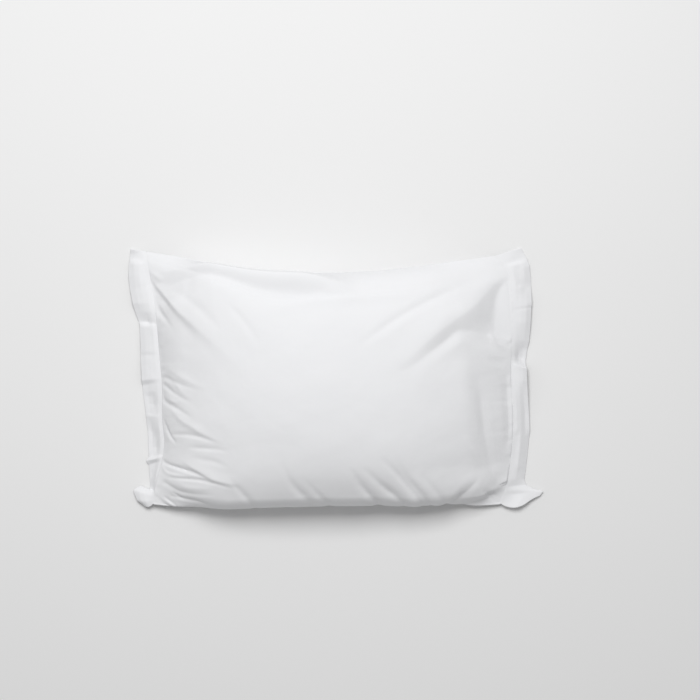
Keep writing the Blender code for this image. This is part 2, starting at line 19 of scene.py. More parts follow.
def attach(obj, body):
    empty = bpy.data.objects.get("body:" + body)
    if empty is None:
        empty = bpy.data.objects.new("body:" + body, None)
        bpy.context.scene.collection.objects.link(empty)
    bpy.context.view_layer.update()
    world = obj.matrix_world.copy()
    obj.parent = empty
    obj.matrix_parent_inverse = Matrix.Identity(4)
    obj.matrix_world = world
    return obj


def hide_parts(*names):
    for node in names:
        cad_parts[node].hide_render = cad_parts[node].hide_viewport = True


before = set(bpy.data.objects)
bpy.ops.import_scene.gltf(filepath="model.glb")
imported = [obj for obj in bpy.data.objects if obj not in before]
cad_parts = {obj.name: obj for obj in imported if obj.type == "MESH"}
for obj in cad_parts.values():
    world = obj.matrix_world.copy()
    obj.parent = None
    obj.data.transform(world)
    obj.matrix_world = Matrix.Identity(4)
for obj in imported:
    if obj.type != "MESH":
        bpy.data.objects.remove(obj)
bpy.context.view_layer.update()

log = logging.getLogger("pillowcase")

Array = NDArray[np.float64]

MM = 0.001
ROOT_BODY = "root"
CLOTH_UV = "cloth"
SHARP_ANGLE = float(np.radians(62.0))
NOISE_CELLS = 64


class Slot(Enum):
    """The record's material slots."""

    BAG = "cotton_bag"
    BORDER = "cotton_border"


class Side(Enum):
    """The short sides of the case, as signs of X."""

    LEFT = -1
    RIGHT = 1

    @property
    def word(self) -> str:
        """The side's name, as it stands in the names of pieces."""
        return self.name.lower()


# ---------------------------------------------------------------- tables of the cloth's shape


class EdgePoint(NamedTuple):
    """A point on the bag's outline, seen from above, and its height over the floor."""

    x: float
    y: float
    z: float


class SectionPoint(NamedTuple):
    """A point of the filled section: share of the bag's width, and height over its edge, where
    the top edge is folded over a crest and where it is round."""

    reach: float
    crested: float
    round: float


class SideFill(NamedTuple):
    """Share of the full section's height at a distance in from a side seam, in the lower and in
    the upper half of the case."""

    inward: float
    low: float
    high: float


class Slackness(NamedTuple):
    """How many times further in the fill of each side seam reaches, at a share of the width."""

    reach: float
    left: float
    right: float


class CrestPlace(NamedTuple):
    """How far the crest of the top edge lies from the edge, at a distance along the case."""

    x: float
    inward: float


class BorderStation(NamedTuple):
    """A line across a border: its place on the stitch line, its outer end, its heights over the
    floor at a quarter, a half, three quarters and the whole of the way out, and how far its
    middle sags towards the bottom edge."""

    seam_y: float
    out_x: float
    out_y: float
    quarter: float
    half: float
    three_quarters: float
    rim: float
    sag: float = 0.0


LEFT_SEAM = (
    EdgePoint(-338, -229, 12),
    EdgePoint(-331, -186, 15),
    EdgePoint(-321, -150, 17),
    EdgePoint(-317, -126, 18),
    EdgePoint(-320, -70, 20),
    EdgePoint(-321, -5, 20),
    EdgePoint(-326, 50, 19),
    EdgePoint(-331, 105, 17),
    EdgePoint(-339, 165, 14),
    EdgePoint(-349, 222, 10),
    EdgePoint(-351, 235, 5),
)
RIGHT_SEAM = (
    EdgePoint(303, -229, 8),
    EdgePoint(313, -190, 13),
    EdgePoint(321, -135, 17),
    EdgePoint(324, -70, 20),
    EdgePoint(321, -15, 21),
    EdgePoint(321, 70, 20),
    EdgePoint(321, 142, 18),
    EdgePoint(317, 186, 15),
    EdgePoint(308, 209, 13),
    EdgePoint(292, 227, 10),
)
BOTTOM_EDGE = (
    EdgePoint(-338, -229, 12),
    EdgePoint(-310, -236, 17),
    EdgePoint(-260, -239, 21),
    EdgePoint(-190, -237, 24),
    EdgePoint(-80, -233, 25),
    EdgePoint(60, -231, 25),
    EdgePoint(180, -232, 22),
    EdgePoint(255, -235, 15),
    EdgePoint(303, -229, 8),
)
TOP_EDGE = (
    EdgePoint(-351, 235, 5),
    EdgePoint(-300, 226, 13),
    EdgePoint(-219, 211, 24),
    EdgePoint(-143, 200, 32),
    EdgePoint(-50, 195, 34),
    EdgePoint(52, 197, 28),
    EdgePoint(150, 207, 22),
    EdgePoint(230, 218, 16),
    EdgePoint(292, 227, 10),
)

# From the bottom seam, which is tucked under, over the face to the top seam.
SECTION = (
    SectionPoint(0.030, 0, 0),
    SectionPoint(0.006, 8, 8),
    SectionPoint(0.000, 18, 18),
    SectionPoint(0.008, 38, 37),
    SectionPoint(0.019, 50, 49),
    SectionPoint(0.037, 60.2, 58.7),
    SectionPoint(0.054, 65, 63.3),
    SectionPoint(0.087, 73.1, 71.4),
    SectionPoint(0.122, 80.2, 78.4),
    SectionPoint(0.157, 85.4, 83.5),
    SectionPoint(0.208, 90.4, 88.4),
    SectionPoint(0.276, 94.2, 92),
    SectionPoint(0.390, 96.2, 93.7),
    SectionPoint(0.506, 94.3, 92),
    SectionPoint(0.620, 88, 86),
    SectionPoint(0.736, 79, 76),
    SectionPoint(0.828, 67.5, 62.5),
    SectionPoint(0.880, 57.5, 52.5),
    SectionPoint(0.897, 54, 48),
    SectionPoint(0.912, 53.5, 44),
    SectionPoint(0.940, 54.5, 35),
    SectionPoint(0.970, 55.5, 22),
    SectionPoint(0.990, 55, 10),
    SectionPoint(0.998, 47, 4),
    SectionPoint(1.001, 24, 1),
    SectionPoint(1.000, 0, 0),
)
LEFT_FILL = (
    SideFill(0, 0.00, 0.00),
    SideFill(10, 0.125, 0.135),
    SideFill(20, 0.22, 0.245),
    SideFill(30, 0.295, 0.34),
    SideFill(45, 0.395, 0.45),
    SideFill(60, 0.48, 0.53),
    SideFill(80, 0.575, 0.635),
    SideFill(105, 0.67, 0.735),
    SideFill(150, 0.78, 0.84),
    SideFill(200, 0.86, 0.905),
    SideFill(280, 0.935, 0.96),
    SideFill(400, 1.00, 1.00),
)
RIGHT_FILL = (
    SideFill(0, 0.00, 0.00),
    SideFill(14, 0.08, 0.08),
    SideFill(30, 0.175, 0.19),
    SideFill(46, 0.265, 0.29),
    SideFill(60, 0.345, 0.38),
    SideFill(76, 0.445, 0.475),
    SideFill(88, 0.515, 0.545),
    SideFill(106, 0.59, 0.625),
    SideFill(126, 0.66, 0.70),
    SideFill(160, 0.76, 0.80),
    SideFill(210, 0.86, 0.885),
    SideFill(290, 0.95, 0.96),
    SideFill(400, 1.00, 1.00),
)
TOP_CREST = (
    CrestPlace(-351, 8),
    CrestPlace(-324, 14),
    CrestPlace(-268, 22),
    CrestPlace(-213, 28),
    CrestPlace(-157, 41),
    CrestPlace(-88, 49),
    CrestPlace(-19, 44),
    CrestPlace(60, 42),
    CrestPlace(330, 42),
)
CORNER_SLACK = (
    Slackness(0.00, 1.5, 1.6),
    Slackness(0.04, 1.15, 1.15),
    Slackness(0.12, 1.0, 0.98),
    Slackness(0.30, 0.98, 0.95),
    Slackness(0.45, 1.0, 1.0),
    Slackness(0.62, 1.0, 0.97),
    Slackness(0.72, 0.98, 1.05),
    Slackness(0.80, 0.96, 1.2),
    Slackness(0.87, 1.0, 1.4),
    Slackness(0.93, 1.5, 1.6),
    Slackness(1.00, 2.2, 2.0),
)


# ---------------------------------------------------------------- curves and surfaces


def smooth_step(share: Array) -> Array:
    """Ease a share from 0 to 1 with level ends: three times its square less twice its cube."""
    return share * share * (3 - 2 * share)


def eased(value: Array, start: float, end: float) -> Array:
    """0 where a value is under start, 1 where it is over end, and eased between them."""
    return smooth_step(np.clip((value - start) / (end - start), 0.0, 1.0))


def crowded_shares(count: int, crowding: float) -> Array:
    """Shares from 0 to 1, crowded towards 0: even ones, each less crowding times it times the rest."""
    even = np.linspace(0.0, 1.0, count)
    return even - crowding * even * (1.0 - even)


def running_total(steps: Array) -> Array:
    """Running totals of a row of steps, starting with 0."""
    return np.concatenate(([0.0], np.cumsum(steps)))


def unit(vectors: Array) -> Array:
    """Vectors of length 1 in the given directions, which lie along the last axis."""
    return vectors / np.linalg.norm(vectors, axis=-1, keepdims=True)


def cubic(t: Array, start: Array, end: Array, leave: Array, arrive: Array) -> Array:
    """Cubic from start to end, with given changes at its ends, read at shares of the way.

    Args:
        t: shares of the way.
        start: values at 0.
        end: values at 1.
        leave: slopes at 0.
        arrive: slopes at 1.

    Returns:
        The values there.
    """
    return (
        start * (2 * t**3 - 3 * t**2 + 1)
        + leave * (t**3 - 2 * t**2 + t)
        + end * (3 * t**2 - 2 * t**3)
        + arrive * (t**3 - t**2)
    )


def stretch_index(where: Array, keys: Array) -> NDArray[np.int64]:
    """Number of the stretch between two rising keys that each place lies in."""
    return np.clip(np.searchsorted(keys, where, side="right") - 1, 0, len(keys) - 2)


def smooth_curve(points: tuple, share: Array) -> Array:
    """Points of a smooth curve through the given ones.

    Each stretch is a cubic between two given points. Its end directions are the slopes of the
    whole row of points there, so neighbouring stretches join without a corner.

    Args:
        points: the given points, each with the same number of coordinates.
        share: shares 0 to 1 of the curve's length, in an array of any shape.

    Returns:
        The points, with one more axis than share has.
    """
    knots = np.array(points, float)
    steps = np.linalg.norm(np.diff(knots, axis=0), axis=1)
    along = running_total(steps) / steps.sum()
    slopes = np.gradient(knots, along, axis=0)
    index = stretch_index(share, along)
    span = along[index + 1] - along[index]
    t = ((share - along[index]) / span)[..., None]
    span = span[..., None]
    leave, arrive = slopes[index] * span, slopes[index + 1] * span
    return cubic(t, knots[index], knots[index + 1], leave, arrive)


def smooth_value(where: Array, keys: Array, values: Array) -> Array:
    """Read values given at rising keys: a cubic between neighbours, with no corner at a key.

    Args:
        where: the places to read at; those past the first or last key read its value.
        keys: the rising keys.
        values: the value at each key.

    Returns:
        The values, in an array of the shape of where.
    """
    slopes = np.gradient(values, keys)
    where = np.clip(where, keys[0], keys[-1])
    index = stretch_index(where, keys)
    span = keys[index + 1] - keys[index]
    t = (where - keys[index]) / span
    leave, arrive = slopes[index] * span, slopes[index + 1] * span
    return cubic(t, values[index], values[index + 1], leave, arrive)


def evenly_spaced(values: tuple, share: Array) -> Array:
    """Read values given at evenly spaced shares from 0 to 1, on a smooth curve."""
    return smooth_value(share, np.linspace(0.0, 1.0, len(values)), np.array(values, float))


def column_value(where: Array, rows: tuple, key: str, value: str, smooth: bool = True) -> Array:
    """Read one column of a table against another.

    Args:
        where: the places to read the table at.
        rows: the table, a tuple of named tuples.
        key: the column that where is measured in.
        value: the column to read.
        smooth: whether the values join smoothly, or on straight lines between the rows.

    Returns:
        The values, in an array of the shape of where.
    """
    keys = np.array([getattr(row, key) for row in rows], float)
    values = np.array([getattr(row, value) for row in rows], float)
    order = np.argsort(keys)
    read = smooth_value if smooth else np.interp
    return read(where, keys[order], values[order])


def surface_normals(points: Array) -> Array:
    """Unit normals of a grid of points: the cross product of its column and row differences."""
    return unit(np.cross(np.gradient(points, axis=1), np.gradient(points, axis=0)))


def lattice_noise(x: Array, y: Array, pitch: float, seed: int) -> Array:
    """Smooth noise from -1 to 1: random values on a square lattice, eased between its points.

    Args:
        x: first coordinates, in the unit of pitch.
        y: second coordinates.
        pitch: the lattice's spacing.
        seed: which set of random values.

    Returns:
        The noise, in an array of the shape of x.
    """
    values = np.random.default_rng(seed).uniform(-1.0, 1.0, (NOISE_CELLS, NOISE_CELLS))
    column, row = np.floor(x / pitch).astype(int), np.floor(y / pitch).astype(int)
    a, b = smooth_step(x / pitch - column), smooth_step(y / pitch - row)
    left, right = column % NOISE_CELLS, (column + 1) % NOISE_CELLS
    low, high = (
        values[at % NOISE_CELLS, left] * (1 - a) + values[at % NOISE_CELLS, right] * a
        for at in (row, row + 1)
    )
    return low * (1 - b) + high * b


@dataclass(frozen=True)
class Fold:
    """A fold of the cloth, raised or sunk along the surface's normal.

    Its spreads and heights are given at places spaced evenly along it, from start to end.

    Attributes:
        path: three or more points (x, y) that it runs through.
        left: how far it spreads to the left of the path, looking along it.
        right: how far it spreads to the right.
        heights: its height on the path, negative for a valley.
        crispness: 0 for a rounded fold, 1 for one that is creased to a line.
        right_crispness: the same for its right side, where that differs.
    """

    path: tuple
    left: tuple
    right: tuple
    heights: tuple
    crispness: float = 0.3
    right_crispness: float | None = None

    STEPS = 28

    def height_at(self, x: Array, y: Array) -> Array:
        """Height of the fold at the points (x, y).

        The nearest point of the path gives a distance and a share of the length. Across the path
        the height is an eased hump, mixed with its squared cone where the fold is crisp, and
        along the path it follows the given heights.

        Args:
            x: first coordinates.
            y: second coordinates.

        Returns:
            The height, in an array of the shape of x.
        """
        path = smooth_curve(self.path, np.linspace(0.0, 1.0, self.STEPS + 1))
        reach = max(self.left + self.right)
        near = (
            (x > path[:, 0].min() - reach) & (x < path[:, 0].max() + reach)
            & (y > path[:, 1].min() - reach) & (y < path[:, 1].max() + reach)
        )
        height = np.zeros(x.shape)
        height[near] = self.height_near(path, x[near], y[near])
        return height

    def height_near(self, path: Array, x: Array, y: Array) -> Array:
        """Height of the fold at points within its reach.

        Args:
            path: its path as short straight steps.
            x: first coordinates.
            y: second coordinates.

        Returns:
            The height, in an array of the shape of x.
        """
        away = np.full(x.shape, np.inf)
        turn = np.zeros(x.shape)
        along = np.zeros(x.shape)
        for step, (start, end) in enumerate(zip(path[:-1], path[1:])):
            run = end - start
            local = ((x - start[0]) * run[0] + (y - start[1]) * run[1]) / (run @ run)
            local = np.clip(local, 0.0, 1.0)
            off_x = x - start[0] - local * run[0]
            off_y = y - start[1] - local * run[1]
            distance = np.hypot(off_x, off_y)
            nearer = distance < away
            away = np.where(nearer, distance, away)
            turn = np.where(nearer, run[0] * off_y - run[1] * off_x, turn)
            along = np.where(nearer, (step + local) / self.STEPS, along)
        on_left = turn > 0
        left, right = evenly_spaced(self.left, along), evenly_spaced(self.right, along)
        width = np.where(on_left, left, right)
        across = np.clip(1 - away / width, 0.0, 1.0)
        right_crispness = self.crispness if self.right_crispness is None else self.right_crispness
        crispness = np.where(on_left, self.crispness, right_crispness)
        hump = smooth_step(across) * (1 - crispness) + across**2 * crispness
        return evenly_spaced(self.heights, along) * hump


UPPER_LEFT_FOLDS = (
    Fold(((-346, 199), (-333, 191), (-318, 179)), (8, 10, 12), (5, 6, 8), (0, 1.6, 0), 0.6),
    Fold(
        ((-350, 193), (-325, 166), (-292, 128), (-254, 93), (-198, 45), (-160, 8)),
        (14, 30, 44, 48, 44, 34), (7, 10, 14, 22, 32, 38), (0, 2.6, 4, 3.6, 2.4, 1.2, 0), 0.9,
    ),
    Fold(
        ((-342, 176), (-313, 139), (-273, 96), (-219, 52)),
        (5, 10, 16, 24), (20, 32, 40, 44), (-1, -2, -1.5, -0.5, 0), 0.4,
    ),
    Fold(
        ((-336, 137), (-322, 119), (-311, 106), (-299, 93)),
        (10, 8, 5), (9, 8, 5), (-3, -3, -2, 0), 0.5,
    ),
    Fold(((-300, 164), (-248, 127), (-206, 86)), (10, 14, 12), (10, 14, 12), (0, -1.2, -1.4, 0), 0.2),
    Fold(((-200, 140), (-172, 110), (-135, 58)), (10, 12, 12), (10, 12, 12), (0, -1.4, -1.2, 0), 0.3),
)
CROWN_FOLDS = (
    Fold(
        ((-338, 219), (-268, 199), (-213, 183), (-157, 161), (-100, 146), (-50, 150), (-12, 170), (6, 192)),
        (8, 14, 22, 30, 38, 44, 40, 30), (8, 10, 14, 16, 16, 14, 12, 10),
        (-0.6, -1.2, -1.6, -2, -2, -1.5, -0.8, -0.2), 0.5, 0.9,
    ),
    Fold(
        ((-130, 130), (-88, 135), (-19, 143), (77, 150), (135, 156)),
        (12, 12, 14, 16), (24, 26, 22, 18), (0, 1.8, 2.6, 1.8, 0), 0.9,
    ),
)
UPPER_RIGHT_FOLDS = (
    Fold(
        ((259, 181), (183, 150), (113, 112), (37, 57)),
        (12, 15, 15, 14), (12, 13, 13, 12), (0, -1.6, -2.6, -2.2, 0), 0.4,
    ),
    Fold(
        ((313, 194), (282, 166), (246, 130), (216, 108), (190, 88), (150, 56), (100, 10)),
        (44, 60, 66, 62, 50, 38, 28), (24, 44, 60, 60, 50, 40, 30),
        (0, 4.5, 8, 8, 5.5, 2.6, 1, 0), 0.6, 0.4,
    ),
    Fold(
        ((320, 186), (309, 166), (301, 143), (296, 121), (293, 100), (289, 76)),
        (20, 40, 60, 70, 60, 40), (10, 34, 56, 64, 60, 50), (0, -6, -9.5, -10.5, -9, -3), 0.0, 0.6,
    ),
    Fold(
        ((290, 84), (265, 84), (242, 89), (218, 87), (203, 74), (172, 50), (140, 27), (108, 9)),
        (34, 34, 28, 22, 22, 22, 22, 20), (40, 44, 40, 32, 24, 18, 14, 14),
        (-1, -3, -5.5, -6, -4.4, -2.4, -1.2, 0), 0.4, 0.6,
    ),
)
LEFT_FOLDS = (
    Fold(
        ((-303, 16), (-283, 4), (-258, -9), (-235, -19)),
        (14, 14, 12), (12, 9, 5), (0.8, 1.5, 1, 0), 0.9,
    ),
    Fold(
        ((-314, 3), (-293, -6), (-275, -13), (-250, -21)),
        (9, 7, 4), (8, 6, 4), (-2.5, -1.8, -1, 0), 0.8,
    ),
    Fold(
        ((-299, -1), (-289, -13), (-281, -24), (-260, -37)),
        (10, 11, 10), (8, 8, 5), (0.4, 1.3, 0.8, 0), 0.9,
    ),
    Fold(
        ((-315, -12), (-299, -24), (-284, -33), (-262, -44)),
        (9, 7, 4), (8, 6, 4), (-3, -2.2, -1.2, 0), 0.8,
    ),
    Fold(((-309, -27), (-302, -38), (-294, -42), (-280, -38)), (6, 6, 6), (6, 6, 6), (0, 1, 0), 0.6),
    Fold(
        ((-316, -40), (-297, -51), (-280, -60), (-260, -72)),
        (10, 8, 5), (9, 7, 4), (-3, -2.6, -1.4, 0), 0.8,
    ),
    Fold(
        ((-302, -54), (-283, -74), (-259, -88), (-233, -104), (-200, -117)),
        (12, 16, 18), (10, 12, 8), (0.6, 2.2, 2.2, 1.2, 0), 0.9,
    ),
    Fold(
        ((-316, -76), (-310, -93), (-302, -107), (-291, -118)),
        (5, 5, 5), (6, 6, 5), (-1, -3, -3, 0), 0.7,
    ),
    Fold(
        ((-300, -101), (-268, -102), (-234, -109), (-213, -116)),
        (8, 11, 6), (6, 6, 5), (-1, -2.6, -2.4, 0), 0.9,
    ),
    Fold(
        ((-272, -124), (-240, -126), (-210, -128), (-192, -131)),
        (9, 10, 6), (6, 7, 6), (0, -2, -1.6, 0), 0.9,
    ),
    Fold(
        ((-266, -143), (-241, -146), (-217, -151), (-192, -161)),
        (9, 9, 8), (9, 9, 8), (0, -1.4, 0), 0.3,
    ),
    Fold(
        ((-284, -146), (-256, -164), (-223, -182), (-206, -187), (-172, -192)),
        (18, 24, 20), (9, 10, 8), (0, 2.6, 3.6, 2.4, 0), 0.9,
    ),
    Fold(
        ((-318, -152), (-306, -157), (-293, -161), (-268, -168), (-245, -175), (-224, -184)),
        (6, 9, 9), (5, 5, 5), (-2, -4, -3.6, -2.6, 0), 0.8,
    ),
    Fold(
        ((-322, -158), (-312, -170), (-290, -176), (-262, -178)),
        (5, 5, 4), (8, 8, 6), (0.5, 1.5, 1.2, 0), 0.9,
    ),
    Fold(
        ((-302, -180), (-270, -182), (-240, -185), (-210, -192), (-186, -200)),
        (7, 8, 5), (5, 5, 4), (-1, -2.6, -2.4, -1.4, 0), 0.8,
    ),
    Fold(
        ((-294, -187), (-276, -196), (-250, -199), (-222, -199)),
        (8, 9, 8), (8, 8, 6), (0, 1.2, 1, 0), 0.6,
    ),
    Fold(
        ((-314, -190), (-288, -204), (-262, -209), (-220, -211)),
        (9, 8, 5), (9, 7, 5), (-2, -2, -1.4, 0), 0.6,
    ),
    Fold(
        ((-302, -214), (-275, -219), (-250, -224), (-220, -234)),
        (8, 8, 5), (6, 5, 4), (-1, -2.6, -2, 0), 0.8,
    ),
    Fold(((-331, -216), (-320, -227), (-309, -234)), (5, 5, 5), (4, 4, 4), (-1, -2, -1), 0.7),
    Fold(((-319, -213), (-306, -223), (-293, -231)), (5, 6, 5), (4, 4, 4), (0, -2, -1), 0.7),
    Fold(((-303, -205), (-290, -213), (-276, -222)), (6, 6, 5), (4, 5, 4), (0, -1.8, 0), 0.7),
    Fold(
        ((-322, -217), (-308, -226), (-290, -233), (-261, -233)),
        (9, 8, 8), (6, 6, 6), (0, 2, 1.6, 0), 0.6,
    ),
)
RIGHT_FOLDS = (
    Fold(
        ((228, 36), (234, -10), (240, -52), (246, -88), (252, -120)),
        (28, 28, 28), (50, 52, 46), (0, 2.2, 3, 1.4, 0), 0.0,
    ),
    Fold(
        ((258, -14), (265, -56), (270, -95), (277, -134), (288, -172)),
        (16, 18, 16, 12), (14, 16, 14, 10), (0, -1.6, -2.2, -1.5, 0), 0.5,
    ),
    Fold(((297, 126), (307, 128), (320, 133)), (5, 5, 4), (5, 5, 4), (0, -1.4, -0.6), 0.5),
    Fold(((302, 160), (309, 146), (314, 130)), (6, 7, 6), (6, 7, 6), (0, 1.2, 0), 0.3),
    Fold(((299, 112), (307, 96), (318, 84)), (7, 8, 7), (7, 8, 7), (0, 1.5, 0), 0.4),
    Fold(
        ((238, -102), (246, -122), (259, -143), (274, -168), (292, -194)),
        (14, 14, 12), (14, 16, 12), (0, 1.4, 1.8, 1.2, 0), 0.3,
    ),
    Fold(
        ((311, 18), (314, -20), (316, -60), (316, -100), (311, -132)),
        (8, 8, 8), (14, 16, 12), (0, -2, -2.4, -2, 0), 0.4,
    ),
    Fold(((277, 42), (293, 33), (310, 26)), (14, 14, 14), (14, 14, 14), (0, -2, 0)),
    Fold(((280, 84), (294, 66), (313, 54)), (10, 10, 10), (10, 10, 10), (0, 2.4, 1.4, 0), 0.6),
    Fold(
        ((96, -220), (190, -214), (250, -206), (296, -196)),
        (56, 60, 56, 44), (24, 24, 22, 18), (0, 6, 8, 3), 0.0,
    ),
    Fold(((226, -212), (262, -204), (292, -194)), (60, 76, 60), (20, 20, 16), (0, 8, 3), 0.0),
    Fold(
        ((202, -228), (224, -210), (244, -190), (256, -176)),
        (13, 15, 12), (9, 10, 8), (-2, -4, -3, 0), 0.7, 0.9,
    ),
    Fold(
        ((262, -196), (276, -208), (290, -219), (303, -228)),
        (12, 13, 10), (7, 8, 7), (0, -3, -4, -2), 0.6, 0.9,
    ),
)
BOTTOM_FOLDS = (
    Fold(((-196, -178), (-172, -206), (-150, -232)), (8, 12, 14), (6, 9, 10), (0, -1.6, -2.6, -2), 0.6),
    Fold(((-100, -150), (-82, -187), (-49, -224)), (10, 14, 16), (7, 10, 12), (0, -1.4, -3, -2.6), 0.6),
    Fold(((-62, -176), (-40, -202), (-12, -230)), (8, 10, 12), (7, 9, 10), (0, -1, -2, -2), 0.6),
    Fold(((26, -160), (47, -196), (76, -228)), (10, 14, 16), (7, 10, 12), (0, -2.6, -4.6, -3.6), 0.7),
    Fold(((46, -158), (89, -199), (124, -226)), (12, 14, 16), (8, 10, 12), (0, -2.6, -4.4, -3.4), 0.7),
    Fold(
        ((78, -140), (107, -169), (134, -199), (158, -226)),
        (12, 15, 16), (8, 10, 12), (0, -2.6, -4.6, -3.6), 0.7,
    ),
    Fold(
        ((106, -142), (131, -181), (152, -205), (172, -228)),
        (9, 12, 12), (8, 10, 10), (0, -2, -3.6, -3), 0.7,
    ),
    Fold(((150, -168), (176, -198), (200, -226)), (10, 12, 12), (8, 10, 10), (0, -1.4, -2, -1.6), 0.5),
)
FACE_FOLDS = (
    UPPER_LEFT_FOLDS + CROWN_FOLDS + UPPER_RIGHT_FOLDS + LEFT_FOLDS + RIGHT_FOLDS + BOTTOM_FOLDS
)

LEFT_BORDER = (
    BorderStation(235, -379, 240, 7, 8, 9, 8),
    BorderStation(229, -380, 232, 8, 7, 6, 4),
    BorderStation(222, -381, 223, 9, 7, 5, 3),
    BorderStation(212, -382, 213, 12, 13, 11, 4),
    BorderStation(190, -383, 191, 14, 14, 11, 5),
    BorderStation(165, -380, 166, 16, 15, 11, 5),
    BorderStation(140, -375, 140, 16, 15, 13, 7),
    BorderStation(124, -370, 124, 15, 12.5, 9, 5),
    BorderStation(104, -364, 106, 12, 5, 3, 2),
    BorderStation(98, -362, 98, 17, 13, 9, 4),
    BorderStation(52, -360, 50, 18, 15, 11, 5),
    BorderStation(46, -360, 44, 17.5, 14, 10, 4),
    BorderStation(38, -360, 36, 18, 15, 11, 5),
    BorderStation(2, -358, -2, 18.5, 16, 13, 8),
    BorderStation(-5, -357, -10, 17, 12, 7, 3),
    BorderStation(-20, -356, -24, 17, 12, 6, 2),
    BorderStation(-30, -355, -32, 17, 9, 4, 2),
    BorderStation(-45, -353, -46, 16, 8, 4, 2),
    BorderStation(-62, -351, -62, 17, 12, 6, 2),
    BorderStation(-68, -350, -68, 18, 14, 9, 3),
    BorderStation(-95, -347, -96, 18, 10, 3, 2),
    BorderStation(-124, -346, -126, 16, 6, 3, 2),
    BorderStation(-136, -345, -143, 15, 9, 5, 2),
    BorderStation(-142, -350, -150, 17, 14, 10, 4),
    BorderStation(-149, -345, -157, 14, 8, 5, 2),
    BorderStation(-170, -344, -176, 15, 8, 4, 2),
    BorderStation(-185, -343, -190, 13, 9, 5, 2),
    BorderStation(-197, -343, -199, 9, 6, 4, 2),
    BorderStation(-204, -343, -203, 7, 5, 4, 3),
    BorderStation(-209, -360, -196, 9, 8, 6, 3),
    BorderStation(-215, -374, -204, 12, 12, 9, 4),
    BorderStation(-222, -366, -223, 13, 14, 12, 7, 2),
    BorderStation(-229, -352, -234, 11, 11, 10, 6, 2),
)
RIGHT_BORDER = (
    BorderStation(227, 340, 242, 9, 8, 6, 4),
    BorderStation(218, 345, 233, 10, 8, 5, 2),
    BorderStation(211, 350, 224, 10, 7, 4, 2),
    BorderStation(206, 352, 217, 13, 12, 9, 3),
    BorderStation(200, 355, 209, 14, 11, 10, 4),
    BorderStation(185, 357, 190, 15, 11, 9, 3),
    BorderStation(172, 358, 177, 16, 11, 7, 2),
    BorderStation(168, 358, 172, 16, 13, 7, 2),
    BorderStation(140, 359, 142, 17, 15.5, 12.5, 7),
    BorderStation(131, 359, 137, 17, 15.5, 13, 7),
    BorderStation(127, 358, 133, 16.5, 14.6, 12, 6.4),
    BorderStation(123, 358, 129, 17, 15.5, 13, 6.8),
    BorderStation(105, 357, 104, 18, 16, 13, 6),
    BorderStation(75, 354, 70, 17, 13, 9, 4),
    BorderStation(62, 351, 56, 16, 10, 5, 2),
    BorderStation(44, 348, 36, 15, 6, 3, 2),
    BorderStation(36, 348, 27, 17, 11, 6, 3),
    BorderStation(28, 349, 21, 20, 19, 17, 13),
    BorderStation(0, 350, -4, 20, 19, 17, 13),
    BorderStation(-35, 352, -38, 19, 16, 11, 9),
    BorderStation(-62, 354, -64, 18.5, 14, 7, 5),
    BorderStation(-92, 355, -93, 18, 14, 7, 4),
    BorderStation(-97, 355, -99, 17, 14, 7, 3),
    BorderStation(-102, 354, -105, 16, 14, 8, 2),
    BorderStation(-133, 351, -135, 15, 14, 8, 2),
    BorderStation(-160, 348, -161, 14, 13, 8, 2),
    BorderStation(-185, 345, -184, 12, 10, 6.5, 2),
    BorderStation(-198, 348, -194, 9, 7, 5, 2),
    BorderStation(-205, 362, -202, 9, 8, 6, 3),
    BorderStation(-213, 380, -206, 7, 7, 6, 4),
    BorderStation(-221, 374, -214, 8, 10, 8, 5, 3),
    BorderStation(-229, 358, -221, 10, 13, 11, 7, 10),
)


# ---------------------------------------------------------------- shader nodes


class Value:
    """A number in a shader's nodes. Its operators add Math nodes, with links between them."""

    def __init__(self, graph: "ShaderGraph", socket: bpy.types.NodeSocket) -> None:
        """Wrap one output socket of a graph's node."""
        self.graph = graph
        self.socket = socket

    def math(self, operation: str, *values: "Value | float") -> "Value":
        """Add one Math node.

        Args:
            operation: the Math node's operation.
            values: its inputs, in order.

        Returns:
            The node's result.
        """
        node = self.graph.node(
            "ShaderNodeMath", {"operation": operation}, dict(enumerate(values))
        )
        return Value(self.graph, node.outputs[0])

    def __add__(self, other: "Value | float") -> "Value":
        """Add another value or a number."""
        return self.math("ADD", self, other)

    def __radd__(self, other: float) -> "Value":
        """Add this value to a number."""
        return self.math("ADD", other, self)

    def __sub__(self, other: "Value | float") -> "Value":
        """Take away another value or a number."""
        return self.math("SUBTRACT", self, other)

    def __rsub__(self, other: float) -> "Value":
        """Take this value away from a number."""
        return self.math("SUBTRACT", other, self)

    def __mul__(self, other: "Value | float") -> "Value":
        """Multiply by another value or a number."""
        return self.math("MULTIPLY", self, other)

    def __rmul__(self, other: float) -> "Value":
        """Multiply a number by this value."""
        return self.math("MULTIPLY", other, self)

    def sine(self) -> "Value":
        """Sine of this value, in radians."""
        return self.math("SINE", self)


